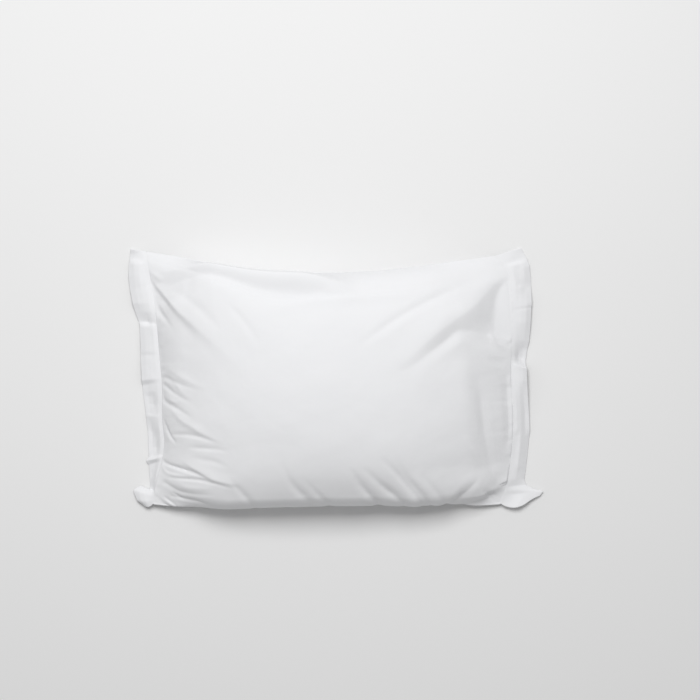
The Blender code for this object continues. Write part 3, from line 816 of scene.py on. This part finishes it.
class ShaderGraph:
    """A material's nodes: one Principled shader, and what feeds it."""

    def __init__(self, name: str) -> None:
        """Make an empty material of that name with a Principled shader on its output."""
        self.material = bpy.data.materials.new(name)
        self.material.use_nodes = True
        self.nodes = self.material.node_tree.nodes
        self.links = self.material.node_tree.links
        self.nodes.clear()
        output = self.nodes.new("ShaderNodeOutputMaterial")
        self.shader = self.nodes.new("ShaderNodeBsdfPrincipled")
        self.links.new(self.shader.outputs["BSDF"], output.inputs["Surface"])

    def set_input(self, node: bpy.types.Node, name: "str | int", value: object) -> None:
        """Set one input of a node, to a constant or to a link from another node.

        Args:
            node: the node.
            name: the input's name or place.
            value: a number, a tuple, a socket or a Value.
        """
        if isinstance(value, Value):
            value = value.socket
        if isinstance(value, bpy.types.NodeSocket):
            self.links.new(value, node.inputs[name])
        else:
            node.inputs[name].default_value = value

    def node(self, kind: str, settings: dict, inputs: dict) -> bpy.types.Node:
        """Add any node.

        Args:
            kind: the node's type.
            settings: its own settings by name, set before its inputs.
            inputs: constants, sockets or Values by input name or place.

        Returns:
            The new node.
        """
        made = self.nodes.new(kind)
        for name, value in settings.items():
            setattr(made, name, value)
        for name, value in inputs.items():
            self.set_input(made, name, value)
        return made

    def cloth_place(self) -> tuple[bpy.types.NodeSocket, Value, Value]:
        """Where a point lies on the flat cloth, in metres, from the piece's own UV map.

        Returns:
            The place as a vector, then its parts along the weft and along the warp.
        """
        uv = self.node("ShaderNodeUVMap", {"uv_map": CLOTH_UV}, {}).outputs["UV"]
        parts = self.node("ShaderNodeSeparateXYZ", {}, {"Vector": uv})
        return uv, Value(self, parts.outputs["X"]), Value(self, parts.outputs["Y"])

    def noise(self, place: object, scale: float, detail: float) -> Value:
        """Noise from 0 to 1 at a place.

        Args:
            place: the vector that it is read at.
            scale: lumps to the metre.
            detail: finer layers added.

        Returns:
            The noise as a number.
        """
        node = self.node(
            "ShaderNodeTexNoise", {}, {"Vector": place, "Scale": scale, "Detail": detail}
        )
        return Value(self, node.outputs["Fac"])

    def stretched_noise(self, place: object, scale: tuple[float, float, float]) -> Value:
        """Noise from 0 to 1 at a place, with its own number of lumps to the metre each way."""
        mapped = self.node("ShaderNodeMapping", {}, {"Vector": place, "Scale": scale})
        return self.noise(mapped.outputs["Vector"], 1.0, 1.0)


@dataclass(frozen=True)
class PercaleFinish:
    """Plain-woven white cotton, washed and unstarched.

    Attributes:
        name: the material's name.
        white: the cotton's colour where it is whitest.
        shade: the colour of its thicker, shadier yarns and faint unevenness.
        thread_pitch: distance between neighbouring yarns, in metres.
        weave_height: how far a yarn stands over its neighbours, in metres.
        slub_size: width and length of the yarns' uneven stretches, in metres.
        slub_height: how far those stand up, in metres.
        crinkle_size: size of the faint crumples left by washing, in metres.
        crinkle_height: their height, in metres.
        crinkle_detail: finer layers of crinkle.
        patch_size: size of the cloth's faintly lighter and darker patches, in metres.
        patch_detail: finer layers of those.
        slub_shade: the slubs' share of the unevenness in colour; the patches have the rest.
        roughness: how matt the cotton is.
        specular: how much it mirrors.
        sheen: how much the loose fibres catch the light at a glancing view.
    """

    name: str
    white: tuple[float, float, float, float] = (0.866, 0.869, 0.884, 1.0)
    shade: tuple[float, float, float, float] = (0.838, 0.842, 0.858, 1.0)
    thread_pitch: float = 0.0004
    weave_height: float = 0.00002
    slub_size: tuple[float, float] = (0.0008, 0.03)
    slub_height: float = 0.00003
    crinkle_size: float = 0.016
    crinkle_height: float = 0.0002
    crinkle_detail: float = 3.0
    patch_size: float = 0.064
    patch_detail: float = 2.0
    slub_shade: float = 0.7
    roughness: float = 0.88
    specular: float = 0.25
    sheen: float = 0.08

    def material(self) -> bpy.types.Material:
        """Make the cotton's material.

        The weave is the product of a sine along each set of yarns. Noise drawn out along the
        yarns gives their slubs, which also shade the colour, and round noise the crinkles.

        Returns:
            The material.
        """
        graph = ShaderGraph(self.name)
        place, weft, warp = graph.cloth_place()
        turn = np.pi / self.thread_pitch
        weave = (weft * turn).sine() * (warp * turn).sine()
        width, length = self.slub_size
        slubs = [
            graph.stretched_noise(place, scale)
            for scale in ((1 / width, 1 / length, 1.0), (1 / length, 1 / width, 1.0))
        ]
        slub = slubs[0] * 0.5 + slubs[1] * 0.5
        crinkle = graph.noise(place, 1 / self.crinkle_size, self.crinkle_detail)
        height = (
            weave * self.weave_height + slub * self.slub_height + crinkle * self.crinkle_height
        )
        bump = graph.node("ShaderNodeBump", {}, {"Strength": 1.0, "Distance": 1.0, "Height": height})
        patches = graph.noise(place, 1 / self.patch_size, self.patch_detail)
        unevenness = slub * self.slub_shade + patches * (1.0 - self.slub_shade)
        colour = graph.node(
            "ShaderNodeMix", {"data_type": "RGBA"}, {0: unevenness, 6: self.shade, 7: self.white}
        )
        shader = graph.shader
        graph.set_input(shader, "Base Color", colour.outputs[2])
        graph.set_input(shader, "Normal", bump.outputs["Normal"])
        graph.set_input(shader, "Roughness", self.roughness)
        graph.set_input(shader, "Sheen Weight", self.sheen)
        graph.set_input(shader, "Specular IOR Level", self.specular)
        return graph.material


@dataclass(frozen=True)
class ThreadFinish:
    """White sewing thread: two plies twisted together.

    Attributes:
        name: the material's name.
        white: the thread's colour.
        ply_pitch: distance between its twists, in metres.
        ply_height: how far a ply stands up, in metres.
        roughness: how matt the thread is.
    """

    name: str
    white: tuple[float, float, float, float] = (0.87, 0.873, 0.885, 1.0)
    ply_pitch: float = 0.0006
    ply_height: float = 0.00004
    roughness: float = 0.6

    def material(self) -> bpy.types.Material:
        """Make the thread's material: a sine along a slanting direction gives its twist.

        Returns:
            The material.
        """
        graph = ShaderGraph(self.name)
        place = graph.node("ShaderNodeTexCoord", {}, {}).outputs["Object"]
        parts = graph.node("ShaderNodeSeparateXYZ", {}, {"Vector": place})
        slant = Value(graph, parts.outputs["X"]) + Value(graph, parts.outputs["Y"])
        twist = (slant * (2 * np.pi / self.ply_pitch)).sine()
        bump = graph.node(
            "ShaderNodeBump", {}, {"Strength": 1.0, "Distance": 1.0, "Height": twist * self.ply_height}
        )
        graph.set_input(graph.shader, "Base Color", self.white)
        graph.set_input(graph.shader, "Normal", bump.outputs["Normal"])
        graph.set_input(graph.shader, "Roughness", self.roughness)
        return graph.material


# ---------------------------------------------------------------- meshes


def grid_faces(rows: int, columns: int) -> NDArray[np.int64]:
    """Corner numbers of a grid's quads, anticlockwise as seen from above.

    Args:
        rows: the grid's rows of points, which rise in Y.
        columns: its columns, which rise in X.

    Returns:
        Four corner numbers for each quad.
    """
    corner = np.arange(rows * columns).reshape(rows, columns)
    quads = np.stack((corner[:-1, :-1], corner[:-1, 1:], corner[1:, 1:], corner[1:, :-1]), axis=-1)
    return quads.reshape(-1, 4)


def rim_loop(rows: int, columns: int) -> NDArray[np.int64]:
    """Corner numbers round a grid's rim, anticlockwise as seen from above.

    Args:
        rows: the grid's rows of points, which rise in Y.
        columns: its columns, which rise in X.

    Returns:
        The corner numbers, each once.
    """
    corner = np.arange(rows * columns).reshape(rows, columns)
    return np.concatenate((corner[0, :-1], corner[:-1, -1], corner[-1, :0:-1], corner[:0:-1, 0]))


def put_mesh(name: str, points: Array, quads: NDArray[np.int64], uv: Array) -> bpy.types.Object:
    """Make a smooth object from arrays.

    Args:
        name: the object's name.
        points: its vertices, in millimetres.
        quads: the vertices of each face.
        uv: the place of each vertex on the flat cloth, in millimetres.

    Returns:
        The object, linked to the scene.
    """
    mesh = bpy.data.meshes.new(name)
    mesh.vertices.add(len(points))
    mesh.vertices.foreach_set("co", (points * MM).astype(np.float32).ravel())
    mesh.loops.add(quads.size)
    mesh.loops.foreach_set("vertex_index", quads.astype(np.int32).ravel())
    mesh.polygons.add(len(quads))
    mesh.polygons.foreach_set("loop_start", np.arange(0, quads.size, 4, dtype=np.int32))
    mesh.update(calc_edges=True)
    layer = mesh.uv_layers.new(name=CLOTH_UV)
    layer.uv.foreach_set("vector", (uv[quads.ravel()] * MM).astype(np.float32).ravel())
    mesh.shade_smooth()
    mesh.set_sharp_from_angle(angle=SHARP_ANGLE)
    mesh.validate()
    piece = bpy.data.objects.new(name, mesh)
    bpy.context.scene.collection.objects.link(piece)
    return piece


@dataclass
class ClothSlab:
    """A closed piece between an upper and a lower grid of points, with a rounded rim.

    Attributes:
        upper: the points of its upper side, rows by columns by three.
        lower: the points of its lower side, of the same shape.
        rounding: how far the rim bulges out, rows by columns; only the rim's values count.
    """

    upper: Array
    lower: Array
    rounding: Array

    RINGS = 3

    def build(self, name: str) -> bpy.types.Object:
        """Join the two sides all round.

        Between them, each ring of the rim lies on a half ellipse: the share of the way down is
        half of one less the cosine of an angle, and the bulge outwards is its sine times the
        rounding, away from the next point inside.

        Args:
            name: the piece's name.

        Returns:
            The piece.
        """
        rows, columns = self.upper.shape[:2]
        count = rows * columns
        loop = rim_loop(rows, columns)
        top, under = self.upper.reshape(-1, 3)[loop], self.lower.reshape(-1, 3)[loop]
        inner_row = np.clip(loop // columns, 1, rows - 2)
        inner_column = np.clip(loop % columns, 1, columns - 2)
        outward = (top - self.upper[inner_row, inner_column]) * (1, 1, 0)
        bulge = unit(outward) * self.rounding.reshape(-1)[loop][:, None]
        angles = np.pi * np.arange(1, self.RINGS + 1) / (self.RINGS + 1)
        rings = [
            top + (under - top) * (1 - np.cos(angle)) / 2 + bulge * np.sin(angle) for angle in angles
        ]
        points = np.concatenate([self.upper.reshape(-1, 3), self.lower.reshape(-1, 3)] + rings)

        upper_quads = grid_faces(rows, columns)
        lower_quads = upper_quads[:, ::-1] + count
        levels = [loop]
        levels += [2 * count + ring * len(loop) + np.arange(len(loop)) for ring in range(self.RINGS)]
        levels += [loop + count]
        rim_quads = [
            np.stack((np.roll(high, -1), high, low, np.roll(low, -1)), axis=1)
            for high, low in zip(levels[:-1], levels[1:])
        ]
        quads = np.concatenate([upper_quads, lower_quads] + rim_quads)

        flat = self.flat_places()
        shift = np.array((0.0, 2 * flat[..., 1].max()))
        uv = np.concatenate(
            [flat.reshape(-1, 2), flat.reshape(-1, 2) + shift]
            + [flat.reshape(-1, 2)[loop]] * self.RINGS
        )
        return put_mesh(name, points, quads, uv)

    def flat_places(self) -> Array:
        """Where each point lay on the flat cloth, before it was draped.

        Returns:
            Running totals of the mean steps along the rows and along the columns.
        """
        across = np.linalg.norm(np.diff(self.upper, axis=1), axis=2).mean(axis=0)
        along = np.linalg.norm(np.diff(self.upper, axis=0), axis=2).mean(axis=1)
        return np.stack(np.meshgrid(running_total(across), running_total(along)), axis=-1)


# ---------------------------------------------------------------- the pillowcase


@dataclass
class FilledBag:
    """The case between its two stitch lines, with its filling.

    Attributes:
        columns: points along the bag.
        rows: points over its face, from its bottom edge to its top edge.
        edge_crowding: 0 spaces the columns evenly, 1 crowds them most towards the sides.
        low_crowding: the same for the rows, towards the bottom edge.
        ply: thickness of the two layers where they are sewn together.
        contact_inset: how far inside its edge the bag's back lies flat on the floor.
        seam_hold: distance from its edge over which folds die out.
        bulge_gain: how soon the face takes the full section's bulge, going in from a side seam.
        deepest_fold: share of the filling's height that a valley may take away.
        section_width: the bag's width where the section is taken.
        crest_ends: shares of the bag's length where its folded-over top edge starts to get round
            and is round.
        upper_half: shares of its width where its lower half ends and its upper half begins.
        crest_reach: the crest's share of the section.
        crest_start: the share of the section from which points move along with the crest.
        seam_rounding: how far its turned seams bulge at the top and bottom edges.
        slack_run: distance from a side seam over which its slackness fades out.
        crumple_pitches: spacings of the cloth's fine crumples.
        crumple_heights: their heights.
        crumple_gain: how many times higher they get towards the left seam.
        crumple_run: distance over which that gain dies out.
        pucker_size: length of the puckers beside the stitch lines, and their spacing.
        pucker_height: their height.
        fill: how tightly it is filled, from 0 to 1.
        folds: the folds of its face.
    """

    columns: int = 249
    rows: int = 191
    edge_crowding: float = 0.5
    low_crowding: float = 0.3
    ply: float = 2.0
    contact_inset: float = 72.0
    seam_hold: float = 3.0
    bulge_gain: float = 1.3
    deepest_fold: float = 0.75
    section_width: float = 440.0
    crest_ends: tuple[float, float] = (0.45, 0.60)
    upper_half: tuple[float, float] = (0.25, 0.8)
    crest_reach: float = 0.895
    crest_start: float = 0.55
    seam_rounding: float = 1.0
    slack_run: float = 140.0
    crumple_pitches: tuple[float, ...] = (41.0, 19.0, 9.0)
    crumple_heights: tuple[float, ...] = (0.5, 0.2, 0.07)
    crumple_gain: float = 1.6
    crumple_run: float = 55.0
    pucker_size: tuple[float, float] = (22.0, 8.0)
    pucker_height: float = 0.9
    fill: float = 0.7
    folds: tuple[Fold, ...] = FACE_FOLDS

    def column_shares(self) -> Array:
        """Shares of the bag's length, crowded towards both side seams."""
        even = np.linspace(0.0, 1.0, self.columns)
        return even - self.edge_crowding * np.sin(2 * np.pi * even) / (2 * np.pi)

    @staticmethod
    def edge_patch(across: Array, up: Array) -> Array:
        """The surface that spans the bag's four edges.

        It is the blend of the left and right edges, plus the blend of the bottom and top edges,
        less the blend of the four corners.

        Args:
            across: shares of the way from the left seam to the right seam.
            up: shares of the way from the bottom edge to the top edge.

        Returns:
            The points.
        """
        left, right = smooth_curve(LEFT_SEAM, up), smooth_curve(RIGHT_SEAM, up)
        bottom, top = smooth_curve(BOTTOM_EDGE, across), smooth_curve(TOP_EDGE, across)
        a, u = across[..., None], up[..., None]
        corners = (
            np.array(LEFT_SEAM[0]) * (1 - a) * (1 - u)
            + np.array(RIGHT_SEAM[0]) * a * (1 - u)
            + np.array(LEFT_SEAM[-1]) * (1 - a) * u
            + np.array(RIGHT_SEAM[-1]) * a * u
        )
        return left * (1 - a) + right * a + bottom * (1 - u) + top * u - corners

    def move_crest(self, reach: Array, x: Array) -> Array:
        """Move the crest of the top edge to its own distance from the edge.

        The distance to the edge is scaled by the ratio of the wanted and the section's own crest
        distance, an eased share of it further in.

        Args:
            reach: shares of the way from the bottom edge to the top edge.
            x: distances along the case.

        Returns:
            The moved shares.
        """
        own = (1.0 - self.crest_reach) * self.section_width
        ratio = column_value(x, TOP_CREST, "x", "inward") / own
        share = eased(reach, self.crest_start, self.crest_reach)
        return 1.0 - (1.0 - reach) * (1.0 + (ratio - 1.0) * share)

    def side_fill(self, across: Array, reach: Array, length: Array) -> Array:
        """Share of its full height that the section has, falling to nothing at both side seams.

        Distances from a seam are divided by its slackness, which fades out with them.

        Args:
            across: shares of the way from the left seam to the right seam.
            reach: shares of the bag's width, from the bottom edge.
            length: the bag's length at those places.

        Returns:
            The left side's fill times the right side's, each read at its distance from its seam.
        """
        inward = []
        for distance, side in ((across * length, "left"), ((1.0 - across) * length, "right")):
            slack = column_value(reach, CORNER_SLACK, "reach", side) - 1.0
            fade = 1.0 - eased(distance, 0.0, self.slack_run)
            inward.append(distance / (1.0 + slack * fade))
        low, high = (
            column_value(inward[0], LEFT_FILL, "inward", half)
            * column_value(inward[1], RIGHT_FILL, "inward", half)
            for half in ("low", "high")
        )
        return low + (high - low) * eased(reach, *self.upper_half)

    def sides(self) -> tuple[Array, Array]:
        """Grids of points for the bag's face and its back, row by row from the bottom edge.

        The face is the patch between the edges, raised by the section times the side fill, and
        moved along its normals by the folds. A valley's depth is divided by the fourth root of
        one more than the fourth power of its ratio to the room it has, so it never passes that.
        The back is the same patch, lowered to the floor over the contact inset.

        Returns:
            The face and the back.
        """
        row_shares = crowded_shares(self.rows, self.low_crowding)
        across, up = np.meshgrid(self.column_shares(), row_shares)
        length = smooth_curve(RIGHT_SEAM, up)[..., 0] - smooth_curve(LEFT_SEAM, up)[..., 0]
        width = smooth_curve(TOP_EDGE, across)[..., 1] - smooth_curve(BOTTOM_EDGE, across)[..., 1]
        crested, rounded = (
            smooth_curve(
                tuple((point.reach * self.section_width, getattr(point, rise)) for point in SECTION),
                up,
            )
            for rise in ("crested", "round")
        )
        turn = eased(across, *self.crest_ends)
        section = crested + (rounded - crested) * turn[..., None]
        full_reach = self.move_crest(
            section[..., 0] / self.section_width, smooth_curve(TOP_EDGE, across)[..., 0]
        )
        fill = self.side_fill(across, full_reach, length)
        reach = up + (full_reach - up) * np.minimum(1.0, fill * self.bulge_gain)
        edge = self.edge_patch(across, reach)
        face = edge + section[..., 1:] * fill[..., None] * (0, 0, 1)
        from_side = np.minimum(across, 1.0 - across) * length
        from_end = np.minimum(up, 1.0 - up) * width
        hold = np.clip(np.minimum(from_side, from_end) / self.seam_hold, 0.0, 1.0)
        folds = sum(fold.height_at(face[..., 0], face[..., 1]) for fold in self.folds)
        folds += self.crumple(face, across * length, (1.0 - across) * length)
        room = self.deepest_fold * (face[..., 2] - edge[..., 2])
        depth = np.maximum(-folds, 0.0)
        depth /= (1.0 + (depth / np.maximum(room, self.ply / 2)) ** 4) ** 0.25
        face += surface_normals(face) * ((np.maximum(folds, 0.0) - depth) * hold)[..., None]

        tuck = reach[0] * (1.0 - up)
        back = self.edge_patch(across, up + tuck)
        side_run = np.clip(from_side / self.contact_inset, 0.0, 1.0)
        end_run = np.clip(from_end / self.contact_inset, 0.0, 1.0)
        lift = 1.0 - (1.0 - (1.0 - side_run) ** 2) * (1.0 - (1.0 - end_run) ** 2)
        back[..., 2] = (back[..., 2] - self.ply / 2) * lift
        face[..., 2] += self.ply / 2
        return face, back

    def crumple(self, face: Array, from_left: Array, from_right: Array) -> Array:
        """Height of the cloth's fine crumples and of the puckers beside its stitch lines.

        The crumples are three layers of noise, higher near the left seam. The puckers are noise
        drawn out across the stitch lines, and die out with the distance from them.

        Args:
            face: the face's points.
            from_left: their distances from the left seam.
            from_right: their distances from the right seam.

        Returns:
            The heights.
        """
        layers = [
            height * lattice_noise(face[..., 0], face[..., 1], pitch, seed)
            for seed, (pitch, height) in enumerate(zip(self.crumple_pitches, self.crumple_heights))
        ]
        crumples = sum(layers) * (1.0 + self.crumple_gain * np.exp(-from_left / self.crumple_run))
        length, pitch = self.pucker_size
        for seed, away in enumerate((from_left, from_right), start=len(layers)):
            pucker = lattice_noise(away / length, face[..., 1] / pitch, 1.0, seed)
            crumples += self.pucker_height * pucker * np.exp(-away / length)
        return crumples

    def build(self) -> bpy.types.Object:
        """Build the filled bag's cloth, in place of its plain solid.

        Returns:
            The piece.
        """
        face, back = self.sides()
        rounding = np.zeros(face.shape[:2])
        rounding[[0, -1], 2:-2] = self.seam_rounding
        piece = ClothSlab(face, back, rounding).build("filled_bag_cloth")
        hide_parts("filled_bag")
        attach(piece, ROOT_BODY)
        return piece

    def dress(self, piece: bpy.types.Object) -> None:
        """Give the bag's piece its cotton."""
        piece.data.materials.append(PercaleFinish("bag_percale").material())


@dataclass
class StitchedBorder:
    """The flat border outside one stitch line: the case's two layers, sewn together.

    Attributes:
        side: which short side it is on.
        seam: the stitch line.
        stations: its lines across, from the top edge to the bottom edge.
        rows: points along the border.
        columns: points across it.
        low_crowding: 0 spaces the rows evenly, 1 crowds them most towards the bottom edge.
        ply: thickness of the two layers.
        seam_gap: how far it stands off the bag.
        rim_rounding: how far its folded edge bulges.
        flat_width: its width as cut, from the stitch line to its folded edge.
        flat_length: its length as cut.
        softening: passes that round its creases off.
        softness: how far each pass moves a point's height to the mean of its four neighbours'.
        crinkle_pitch: spacing of its fine crinkles.
        crinkle_height: their height.
        crinkle_seed: which set of random values they have.
    """

    side: Side
    seam: tuple
    stations: tuple
    rows: int = 320
    columns: int = 25
    low_crowding: float = 0.3
    ply: float = 2.0
    seam_gap: float = 0.01
    rim_rounding: float = 0.9
    flat_width: float = 40.0
    flat_length: float = 500.0
    softening: int = 2
    softness: float = 0.5
    crinkle_pitch: float = 13.0
    crinkle_height: float = 0.35
    crinkle_seed: int = 7

    def middle(self) -> Array:
        """Grid of points half way through the border's thickness, row by row from its bottom.

        A line across runs straight from the stitch line to the border's outer edge. Its heights
        are read between five places, and the table is read on straight lines along the border,
        so each station is a crease. A few passes of averaging then round the creases.

        Returns:
            The points, with the columns in the order of X.
        """
        line = smooth_curve(self.seam, crowded_shares(self.rows, self.low_crowding))
        run = unit(np.gradient(line[:, :2], axis=0))
        inner = line + self.side.value * self.seam_gap * np.stack(
            (run[:, 1], -run[:, 0], np.zeros(self.rows)), axis=1
        )
        read = {
            column: column_value(line[:, 1], self.stations, "seam_y", column, smooth=False)
            for column in BorderStation._fields
        }
        heights = np.stack(
            (line[:, 2], read["quarter"], read["half"], read["three_quarters"], read["rim"]), axis=1
        )
        out = np.linspace(0.0, 1.0, self.columns)
        outer = np.stack((read["out_x"], read["out_y"]), axis=1)
        grid = np.empty((self.rows, self.columns, 3))
        grid[..., :2] = inner[:, None, :2] + (outer - inner[:, :2])[:, None] * out[None, :, None]
        grid[..., 1] -= read["sag"][:, None] * 4 * out * (1 - out)
        place = out * (heights.shape[1] - 1)
        low = np.minimum(place.astype(int), heights.shape[1] - 2)
        grid[..., 2] = heights[:, low] * (1 - (place - low)) + heights[:, low + 1] * (place - low)
        for _ in range(self.softening):
            inside = grid[1:-1, 1:-1, 2]
            around = grid[:-2, 1:-1, 2] + grid[2:, 1:-1, 2] + grid[1:-1, :-2, 2] + grid[1:-1, 2:, 2]
            grid[1:-1, 1:-1, 2] = inside * (1 - self.softness) + around * (self.softness / 4)
        crinkle = lattice_noise(grid[..., 0], grid[..., 1], self.crinkle_pitch, self.crinkle_seed)
        grid[..., 2] += self.crinkle_height * crinkle * np.sin(np.pi * out)
        return grid if self.side is Side.RIGHT else grid[:, ::-1]

    def build(self, stitching: bpy.types.Object) -> bpy.types.Object:
        """Build the border's cloth, in place of its plain solid.

        Args:
            stitching: the piece with its stitches; not used.

        Returns:
            The piece.
        """
        middle = self.middle()
        half = np.array((0.0, 0.0, self.ply / 2))
        rounding = np.full(middle.shape[:2], self.rim_rounding)
        rounding[:, 0 if self.side is Side.RIGHT else -1] = 0.0
        word = self.side.word
        piece = ClothSlab(middle + half, middle - half, rounding).build(f"border_{word}_cloth")
        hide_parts(f"border_{word}")
        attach(piece, ROOT_BODY)
        return piece

    def dress(self, piece: bpy.types.Object) -> None:
        """Give the border's piece its cotton."""
        piece.data.materials.append(PercaleFinish(f"{piece.name}_percale").material())


@dataclass
class TopStitching:
    """The row of stitches that holds a border's two layers together, seen on both of its sides.

    Attributes:
        border: the border that it is sewn through.
        inset: distance from the stitch line's own place to the thread.
        pitch: distance from one stitch to the next.
        length: length of a stitch.
        radius: the thread's radius.
        sink: share of the radius that a stitch's ends lie under the cloth's surface.
        ends: shares of a stitch's length where its tube starts and stops.
    """

    border: StitchedBorder
    inset: float = 2.0
    pitch: float = 3.0
    length: float = 2.5
    radius: float = 0.28
    sink: float = 0.9
    ends: tuple[float, float] = (0.06, 0.94)

    RINGS = 5
    SIDES = 6

    def thread_line(self) -> Array:
        """Where the thread runs along the border's middle.

        The inset is turned into a place between two of each row's points, and read in between.

        Returns:
            One point for each row.
        """
        grid = self.border.middle()
        if self.border.side is Side.LEFT:
            grid = grid[:, ::-1]
        width = np.linalg.norm(grid[:, -1] - grid[:, 0], axis=1)
        place = self.inset / width * (grid.shape[1] - 1)
        row, low = np.arange(len(grid)), place.astype(int)
        share = (place - low)[:, None]
        return grid[row, low] * (1 - share) + grid[row, low + 1] * share

    def build(self) -> bpy.types.Object:
        """Build every stitch as a short closed thread.

        A stitch is a tube along the thread line: its radius is the thread's times the fourth
        root of a half sine along it, and its middle stands over the cloth by a half sine less
        the sink. The upper row lies on the border's upper side and the lower row under it.

        Returns:
            The piece.
        """
        line = self.thread_line()
        arc = running_total(np.linalg.norm(np.diff(line, axis=0), axis=1))
        starts = np.arange(self.pitch / 2, arc[-1] - self.pitch, self.pitch)
        share = np.linspace(*self.ends, self.RINGS)
        places = starts[:, None] + share * self.length
        centre = np.stack([np.interp(places, arc, line[:, axis]) for axis in range(3)], axis=-1)
        lift = self.border.ply / 2 + self.radius * (np.sin(np.pi * share) - self.sink)
        rows = np.stack([centre + lift[:, None] * (0, 0, side) for side in (1.0, -1.0)])
        rows = rows.reshape(-1, self.RINGS, 3)
        along = unit(np.gradient(rows, axis=1))
        across = unit(np.cross(along, (0.0, 0.0, 1.0)))
        upward = np.cross(across, along)
        angles = 2 * np.pi * np.arange(self.SIDES)[:, None] / self.SIDES
        radius = self.radius * np.sin(np.pi * share)[:, None, None] ** 0.25
        ring = across[:, :, None] * np.cos(angles) + upward[:, :, None] * np.sin(angles)
        points = (rows[:, :, None] + radius * ring).reshape(-1, 3)

        corner = np.arange(self.RINGS * self.SIDES).reshape(self.RINGS, self.SIDES)
        after = np.roll(corner, -1, axis=1)
        tube = np.stack((corner[:-1], corner[1:], after[1:], after[:-1]), axis=-1).reshape(-1, 4)
        halves = np.array(((0, 1, 2, 3), (3, 4, 5, 0)))
        stitch = np.concatenate((tube, corner[0][halves], corner[-1, ::-1][halves]))
        quads = stitch + corner.size * np.arange(len(rows))[:, None, None]
        name = f"stitching_{self.border.side.word}"
        piece = put_mesh(name, points, quads.reshape(-1, 4), points[:, :2])
        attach(piece, ROOT_BODY)
        return piece

    def dress(self, piece: bpy.types.Object) -> None:
        """Give the stitches' piece its thread."""
        piece.data.materials.append(ThreadFinish(f"{piece.name}_thread").material())


# ---------------------------------------------------------------- floor, light and camera


@dataclass
class Studio:
    """A plain pale floor, soft light from over the case's top edge, and the camera.

    Attributes:
        floor_size: side of the square floor, in metres.
        floor_colour: its colour.
        floor_roughness: how matt it is.
        floor_specular: how much it mirrors.
        ambient: strength of the even white light from all round.
        lamp_place: where the large soft lamp hangs.
        lamp_aim: the point that it shines at.
        lamp_size: its width and depth.
        lamp_power: its power, in watts.
        aim: the point that the camera looks at.
        distance: from the aim to the camera.
        elevation: the camera's angle over the floor, in degrees.
        lens: its focal length, in millimetres.
    """

    floor_size: float = 8.0
    floor_colour: tuple[float, float, float, float] = (0.85, 0.85, 0.85, 1.0)
    floor_roughness: float = 0.95
    floor_specular: float = 0.1
    ambient: float = 0.34
    lamp_place: tuple[float, float, float] = (-0.22, 1.5, 2.9)
    lamp_aim: tuple[float, float, float] = (0.0, 0.0, 0.1)
    lamp_size: tuple[float, float] = (2.2, 1.6)
    lamp_power: float = 76.5
    aim: tuple[float, float, float] = (0.0247, 0.0534, 0.05)
    distance: float = 4.5
    elevation: float = 89.0
    lens: float = 126.8

    def build(self) -> None:
        """Add the floor, the lights and the camera."""
        self.add_floor()
        self.add_lights()
        self.add_camera()

    def add_floor(self) -> None:
        """Add the floor, just under the surface that the case rests on."""
        half = self.floor_size / 2
        mesh = bpy.data.meshes.new("floor")
        corners = [(-half, -half, 0.0), (half, -half, 0.0), (half, half, 0.0), (-half, half, 0.0)]
        mesh.from_pydata(corners, [], [(0, 1, 2, 3)])
        graph = ShaderGraph("floor_paint")
        graph.set_input(graph.shader, "Base Color", self.floor_colour)
        graph.set_input(graph.shader, "Roughness", self.floor_roughness)
        graph.set_input(graph.shader, "Specular IOR Level", self.floor_specular)
        mesh.materials.append(graph.material)
        floor = bpy.data.objects.new("floor", mesh)
        bpy.context.scene.collection.objects.link(floor)

    def add_lights(self) -> None:
        """Add the even light and the lamp."""
        world = bpy.data.worlds.new("even_light")
        world.use_nodes = True
        background = world.node_tree.nodes["Background"]
        background.inputs["Color"].default_value = (1.0, 1.0, 1.0, 1.0)
        background.inputs["Strength"].default_value = self.ambient
        bpy.context.scene.world = world
        lamp = bpy.data.lights.new("soft_lamp", "AREA")
        lamp.shape = "RECTANGLE"
        lamp.size, lamp.size_y = self.lamp_size
        lamp.energy = self.lamp_power
        holder = bpy.data.objects.new("soft_lamp", lamp)
        holder.location = self.lamp_place
        down = Vector(self.lamp_aim) - Vector(self.lamp_place)
        holder.rotation_euler = down.to_track_quat("-Z", "Y").to_euler()
        bpy.context.scene.collection.objects.link(holder)

    def add_camera(self) -> None:
        """Add the camera at the photograph's angle to the case's face."""
        lens = bpy.data.cameras.new("camera")
        lens.lens = self.lens
        camera = bpy.data.objects.new("camera", lens)
        tilt = np.radians(self.elevation)
        offset = Vector((0.0, -np.cos(tilt), np.sin(tilt))) * self.distance
        camera.location = Vector(self.aim) + offset
        camera.rotation_euler = (-offset).to_track_quat("-Z", "Y").to_euler()
        bpy.context.scene.collection.objects.link(camera)
        bpy.context.scene.camera = camera
        bpy.context.scene.view_settings.view_transform = "Standard"


def finish_piece(maker: FilledBag | StitchedBorder | TopStitching, piece: bpy.types.Object) -> None:
    """Dress one piece by its maker, and log its name and number of faces."""
    maker.dress(piece)
    log.info("%s: %d faces", piece.name, len(piece.data.polygons))


def main() -> None:
    """Build the studio and the pillowcase."""
    logging.basicConfig(level=logging.INFO, format="%(name)s: %(message)s")
    Studio().build()
    bag = FilledBag()
    finish_piece(bag, bag.build())
    for side, seam, stations in (
        (Side.LEFT, LEFT_SEAM, LEFT_BORDER),
        (Side.RIGHT, RIGHT_SEAM, RIGHT_BORDER),
    ):
        border = StitchedBorder(side, seam, stations)
        stitches = TopStitching(border)
        stitching = stitches.build()
        finish_piece(stitches, stitching)
        finish_piece(border, border.build(stitching))


if __name__ == "__main__":
    main()
